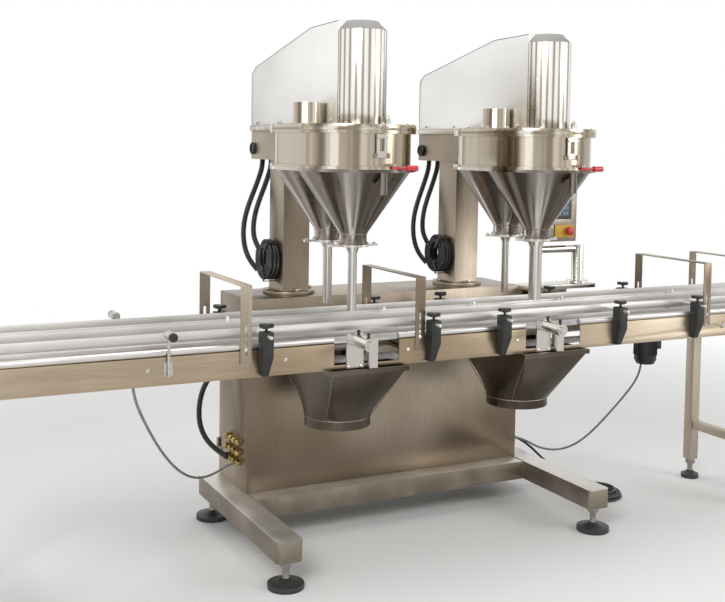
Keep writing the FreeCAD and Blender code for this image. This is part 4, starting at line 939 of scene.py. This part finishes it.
def spread(name, single, spots, slot, finish, *nodes, recipe=facing_out):
    """Set one shape on every (place, way) pair."""
    mesh = bpy.data.meshes.new(name)
    mesh.from_pydata([spot for spot, _ in spots], [], [])
    ways = mesh.attributes.new("way", "FLOAT_VECTOR", "POINT")
    for entry, (_, way) in zip(ways.data, spots):
        entry.vector = way
    piece = recipe.grow(name, mesh, used=[single], Shape=single)
    print(name, len(spots), "copies")
    return place(piece, slot, finish, *nodes)


def walls(work, lower, upper):
    """Four-sided faces between two rings with as many corners."""
    for corners in zip(lower, lower[1:] + lower[:1], upper[1:] + upper[:1], upper):
        work.faces.new(corners)


def stack(work, rings):
    """A closed form through rings of corners, from the lowest up."""
    for lower, upper in zip(rings, rings[1:]):
        walls(work, lower, upper)
    work.faces.new(rings[0][::-1])
    work.faces.new(rings[-1])


def turned(name, *parts):
    """A small part made of (sides, profile) pairs, each profile as radius and height."""
    work = bmesh.new()
    for sides, profile in parts:
        angles = [2 * math.pi * k / sides for k in range(sides)]
        stack(work, [[work.verts.new((radius * math.cos(a), radius * math.sin(a), level))
                      for a in angles] for radius, level in profile])
    return shape(name, work)


screw = turned("screw", (12, [(0.0080, 0), (0.0080, 0.0012)]),
               (6, [(0.0062, 0.0010), (0.0062, 0.0048), (0.0050, 0.0058)]))
PANEL_FACES = ((-0.420, -1), (0.015, 1))  # where each conveyor panel stands and faces
LEG_X = (-1.780, 1.640)


def panel_spots():
    spots = []
    for face, way in PANEL_FACES:
        spots += [((x, face, 0.859), (0, way, 0))
                  for x in (-1.25, -0.75, -0.25, 0.25, 0.75, 1.25)]
        spots += [((x, face + way * 0.004, 0.905), (0, way, 0))
                  for x in (-0.902, -0.202, 1.250, 1.590)]
        spots += [((x, face + way * 0.050, z), (0, way, 0))
                  for x in LEG_X for z in (0.829, 0.871)]
    return spots


def head_spots(x, lid=1.699, wide=0.222):
    """Screws round a lid, along the motor cover, on the cone flanges and at the stop."""
    spots = [((x + wide * math.cos(a), LANES[0][1] + wide * math.sin(a), lid), (0, 0, 1))
             for a in map(math.radians, (200, 235, 270, 305, 340))]
    for sign in (-1, 1):
        spots += [((x + sign * wide, y, lid), (0, 0, 1)) for y in (-0.24, -0.10)]
        spots += [((x + sign * 0.095, y, 1.712), (sign, 0, 0))
                  for y in (0.46, 0.22, -0.02, -0.27)]
        spots += [((x + sign * 0.092, y, 1.250), (0, 0, 1)) for _, y in LANES]
        spots.append(((x - 0.052 + sign * 0.025, -0.426, 0.815), (0, -1, 0)))
    return spots


spread("screws", screw, panel_spots() + head_spots(-HEAD_X) + head_spots(HEAD_X),
       "polished_steel", bright_bar)

# %% [markdown]
# Three more shapes repeat. The cable glands are brass: a hexagon against the wall, a
# short neck and a second hexagon that closes on the cable. Cooling fins stand round the
# conveyor's motor. Two push-in fittings bring air to each stop cylinder. A turned profile
# with few sides gives the hexagons and the necks alike, so the screw's helper makes them.

# %% Glands, motor fins and air fittings
gland = turned("gland", (6, [(0.0140, 0), (0.0140, 0.005)]),
               (16, [(0.0112, 0.005), (0.0112, 0.012)]),
               (6, [(0.0132, 0.012), (0.0132, 0.020), (0.0105, 0.0245), (0.0078, 0.026)]))
gland_spots = [((-0.668, 0.230 + 0.042 * column, 0.300 + 0.042 * row), (-1, 0, 0))
               for row in range(3) for column in range(4)]
gland_spots += [((0.668, y, 0.240), (1, 0, 0)) for y in (0.272, 0.314)]
spread("gland_nuts", gland, gland_spots, "gland_brass", brass, "cable_glands")


def fin():
    work = bmesh.new()
    block(work, (-0.003, -0.0014, -0.075), (0.0035, 0.0014, 0.075), 0.0006, 1)
    return shape("fin", work)


def around(x, y, z, radius, count):
    """Evenly spaced places on an upright cylinder, each facing outwards."""
    turns = [2 * math.pi * (k + 0.5) / count for k in range(count)]
    return [((x + radius * math.cos(a), y + radius * math.sin(a), z),
             (math.cos(a), math.sin(a), 0)) for a in turns]


spread("motor_fins", fin(), around(1.355, 0.070, 0.705, 0.053, 24), "motor_black", motor_paint,
       recipe=standing)

air_fitting = turned("air_fitting", (6, [(0.0065, 0), (0.0065, 0.004)]),
                     (16, [(0.0050, 0.004), (0.0050, 0.011), (0.0066, 0.011), (0.0066, 0.016),
                           (0.0040, 0.017)]))
spread("air_fittings", air_fitting,
       [((x - 0.052, y, 0.9355), (0, 0, 1)) for _, x in HEADS for y in (-0.450, -0.528)],
       "black_plastic", black_plastic)

# %% [markdown]
# The rail clamps are moulded blocks. Each is square at the top, where a rod passes
# through it, and draws back towards the conveyor panel at its foot, so the lower part is
# a wedge. A box can't show that, so eight corners are given for each wedge and the
# whole block gets one rounding.


# %% Rail clamps
CLAMP_X = (-0.835, -0.155, 0.168, 0.748, 1.175)
CLAMP_LOW, CLAMP_MIDDLE, CLAMP_TOP = 0.809, 0.880, 0.968
CLAMP_HALF, CLAMP_DEEP = 0.021, 0.046


def wedge(work, x, face, way):
    """Eight corners between a full section and a smaller one against the panel."""
    stack(work, [[work.verts.new((x + a * wide, face + way * b * reach, z))
                  for a, b in ((-1, 0), (1, 0), (1, 1), (-1, 1))]
                 for z, wide, reach in ((CLAMP_LOW, CLAMP_HALF * 0.62, CLAMP_DEEP * 0.42),
                                        (CLAMP_MIDDLE, CLAMP_HALF, CLAMP_DEEP))])


def clamp_blocks():
    work = bmesh.new()
    for face, way in PANEL_FACES:
        for x in CLAMP_X:
            near, far = sorted((face, face + way * CLAMP_DEEP))
            block(work, (x - CLAMP_HALF, near, CLAMP_MIDDLE), (x + CLAMP_HALF, far, CLAMP_TOP))
            wedge(work, x, face, way)
    bmesh.ops.remove_doubles(work, verts=work.verts, dist=1e-5)
    inner = [side for side in work.faces if abs(side.normal.z) > 0.9
             and abs(side.calc_center_median().z - CLAMP_MIDDLE) < 1e-4]
    bmesh.ops.delete(work, geom=inner, context="FACES")
    bmesh.ops.recalc_face_normals(work, faces=work.faces)
    bmesh.ops.bevel(work, geom=work.edges[:], offset=0.0028, segments=2, affect="EDGES",
                    profile=0.5)
    return shape("clamp_blocks", work)


clamps = place(clamp_blocks(), "black_plastic", black_plastic, "rail_clamps")
print("clamp faces", len(clamps.data.polygons))

# %% [markdown]
# Stainless machines are welded, and the beads show wherever two sheets meet. They could
# be carved into the sheets, at the cost of many faces. A bead is also a thin tube with
# ripples that is half sunk in the corner, so the conduit's recipe makes it too, with
# other sizes, on one curve that holds every seam as a spline of its own.


# %% Weld beads
def circle(x, y, z, radius, count=48):
    return [(x + radius * math.cos(2 * math.pi * k / count),
             y + radius * math.sin(2 * math.pi * k / count), z) for k in range(count)]


def rectangle(x0, y0, x1, y1, z):
    return [(x0, y0, z), (x1, y0, z), (x1, y1, z), (x0, y1, z)]


FUNNEL_Y = -0.178


def head_seams(x):
    """Column foot and top, cone necks, powder port, and the catch funnel's corners."""
    seams = [(rectangle(x - 0.0605, 0.239, x + 0.0605, 0.390, z), True)
             for z in (1.0035, 1.5535)]
    seams += [(circle(x, y, z, 0.0535), True) for _, y in LANES for z in (1.290, 1.2575)]
    seams.append((circle(x - 0.156, -0.207, 1.6995, 0.0555, 36), True))
    for across in (-1, 1):
        for out in (-1, 1):
            corner = (x + across * 0.1505, FUNNEL_Y + out * 0.2625, 0.787)
            foot = (x + across * 0.0915, FUNNEL_Y + out * 0.0915, 0.5755)
            seams.append(((corner, foot), False))
    seams.append((circle(x, FUNNEL_Y, 0.575, 0.1295, 60), True))
    return seams


def frame_seams():
    seams = []
    for x in (-0.658, 0.658):
        for front in (0.081, 0.372):
            seams.append((((x, front, 0.1865), (x, front + 0.104, 0.1865)), False))
            seams.append((((x, front, 0.107), (x, front, 0.186)), False))
    for x in LEG_X:
        for face, way in PANEL_FACES:
            y = face - way * 0.001
            seams.append((((x - 0.02, y, 0.2905), (x + 0.02, y, 0.2905)), False))
    return seams


beads = runs_curve("beads", head_seams(-HEAD_X) + head_seams(HEAD_X) + frame_seams())
welds = tube("weld_beads", beads, 0.0022, pitch=0.0045, depth=0.3, sides=6)
place(welds, "frame_steel", frame_sheet)
print("weld faces", len(welds.data.polygons))

# %% [markdown]
# Each motor cover is folded from sheet, and each fold is drawn as a thin line of painted
# shade between nearly white faces. A mask could darken the cover's rounded edges, but they
# are too narrow to hold a clean line. So the same recipe draws a fine dark tube with no ribs
# along each fold, as painted shade.


# %% Folded edges of the motor covers
def cover_edges():
    """Both side outlines of each cover, from the lid round to the polished front."""
    outlines = []
    for side, _ in HEADS:
        low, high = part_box(f"{side}_motor_cover")
        rear, base = high[1] - 0.001, low[2]
        over = [(rear, 0.002), (rear, 0.225), (rear - 0.040, 0.251), (-0.090, 0.3715),
                (-0.333, 0.3771)]
        upright = [(-0.335, 0.343), (-0.335, 0.002)]
        for x in (low[0] + 0.001, high[0] - 0.001):
            outlines += [([(x, y, base + z) for y, z in run], False) for run in (over, upright)]
    return runs_curve("cover_edges", outlines)


# Painted shade along the folds of the motor covers.
dark_edge = grained("dark_edge", rgb(0.10, 0.095, 0.088), rgb(0.17, 0.16, 0.15), metallic=1.0)
cover_folds = tube("cover_folds", cover_edges(), 0.0018, pitch=0.024, depth=0.0, sides=8)
place(cover_folds, "cover_steel", dark_edge)
print("cover fold faces", len(cover_folds.data.polygons))

# %% [markdown]
# The touch screen sits in a raised bezel, and its glass shows plain tiles without any
# words. The tiles could be raised mesh, but a real screen is flat, so sums on the object's
# own X and Z draw them. The hank of thin conduit is strapped in two places, and each head
# arm has a small pull ring at its left rear corner.


# %% Screen, straps and rings
def screen():
    work = bmesh.new()
    block(work, (0.719, 0.1005, 1.294), (0.909, 0.1048, 1.424), 0.0012)
    return shape("screen_bezel", work)


def screen_finish():
    made = Finish("screen_tiles")
    x, z = made.axis("X"), made.axis("Z")
    left, right, low, high = 0.731, 0.897, 1.308, 1.412
    glass = (x > left) * (x < right) * (z > low) * (z < high)
    column = ((x - left) * (4 / (right - left))).maths("FRACT")
    row = ((z - low) * (4 / (high - low))).maths("FRACT")
    tile = glass * (column > 0.12) * (column < 0.88) * (row > 0.16) * (row < 0.84)
    tone = made.mix(glass, rgb(0.03, 0.03, 0.032), rgb(0.05, 0.09, 0.14))
    tone = made.mix(tile, tone, rgb(0.16, 0.25, 0.33))
    made.shader.inputs["Coat Weight"].default_value = 0.5
    return made.wear(Base_Color=tone, Roughness=made.fit(glass, 0, 1, 0.5, 0.1))


place(screen(), "screen_dark", screen_finish(), "touch_screen", body="control_panel")


def strap(name, x, angle, half=0.0285, inner=0.0350, outer=0.0935, wide=0.007):
    """A flat tie round the hank's section, drawn as a closed band."""
    work = bmesh.new()
    turn = Matrix.Rotation(angle, 3, "X")
    rings = []
    for grow in (0.0, 0.0016):
        for side in (-wide, wide):
            ring = [(-half - grow, inner - grow), (half + grow, inner - grow),
                    (half + grow, outer + grow), (-half - grow, outer + grow)]
            rings.append([work.verts.new(hank_middle(x) + turn @ Vector((a, b, side)))
                          for a, b in ring])
    for first, second in ((0, 1), (1, 3), (3, 2), (2, 0)):
        walls(work, rings[first], rings[second])
    bmesh.ops.recalc_face_normals(work, faces=work.faces)
    return shape(name, work)


def pull_ring(name, x, steps=32):
    bow = [(x - 0.101, 0.495 + 0.022 * math.cos(a), 1.600 + 0.022 * math.sin(a))
           for a in (2 * math.pi * k / steps for k in range(steps))]
    return tube(name, runs_curve("bow", [(bow, True)]), 0.0055, pitch=0.004, depth=0.0,
                sides=12)


for side, x in HEADS:
    for number, angle in enumerate((2.2, 4.4)):
        place(strap(f"{side}_hank_strap_{number}", x, angle), "black_plastic", black_plastic)
    place(pull_ring(f"{side}_pull_ring", x), "black_plastic", black_plastic)

# %% [markdown]
# A CAD node with no piece of its own would show as a plain solid, so the ones that are
# left are listed.

# %% Finish
print("nodes left bare", [node for node, shown in frame["nodes"].items()
                          if not shown.hide_render])
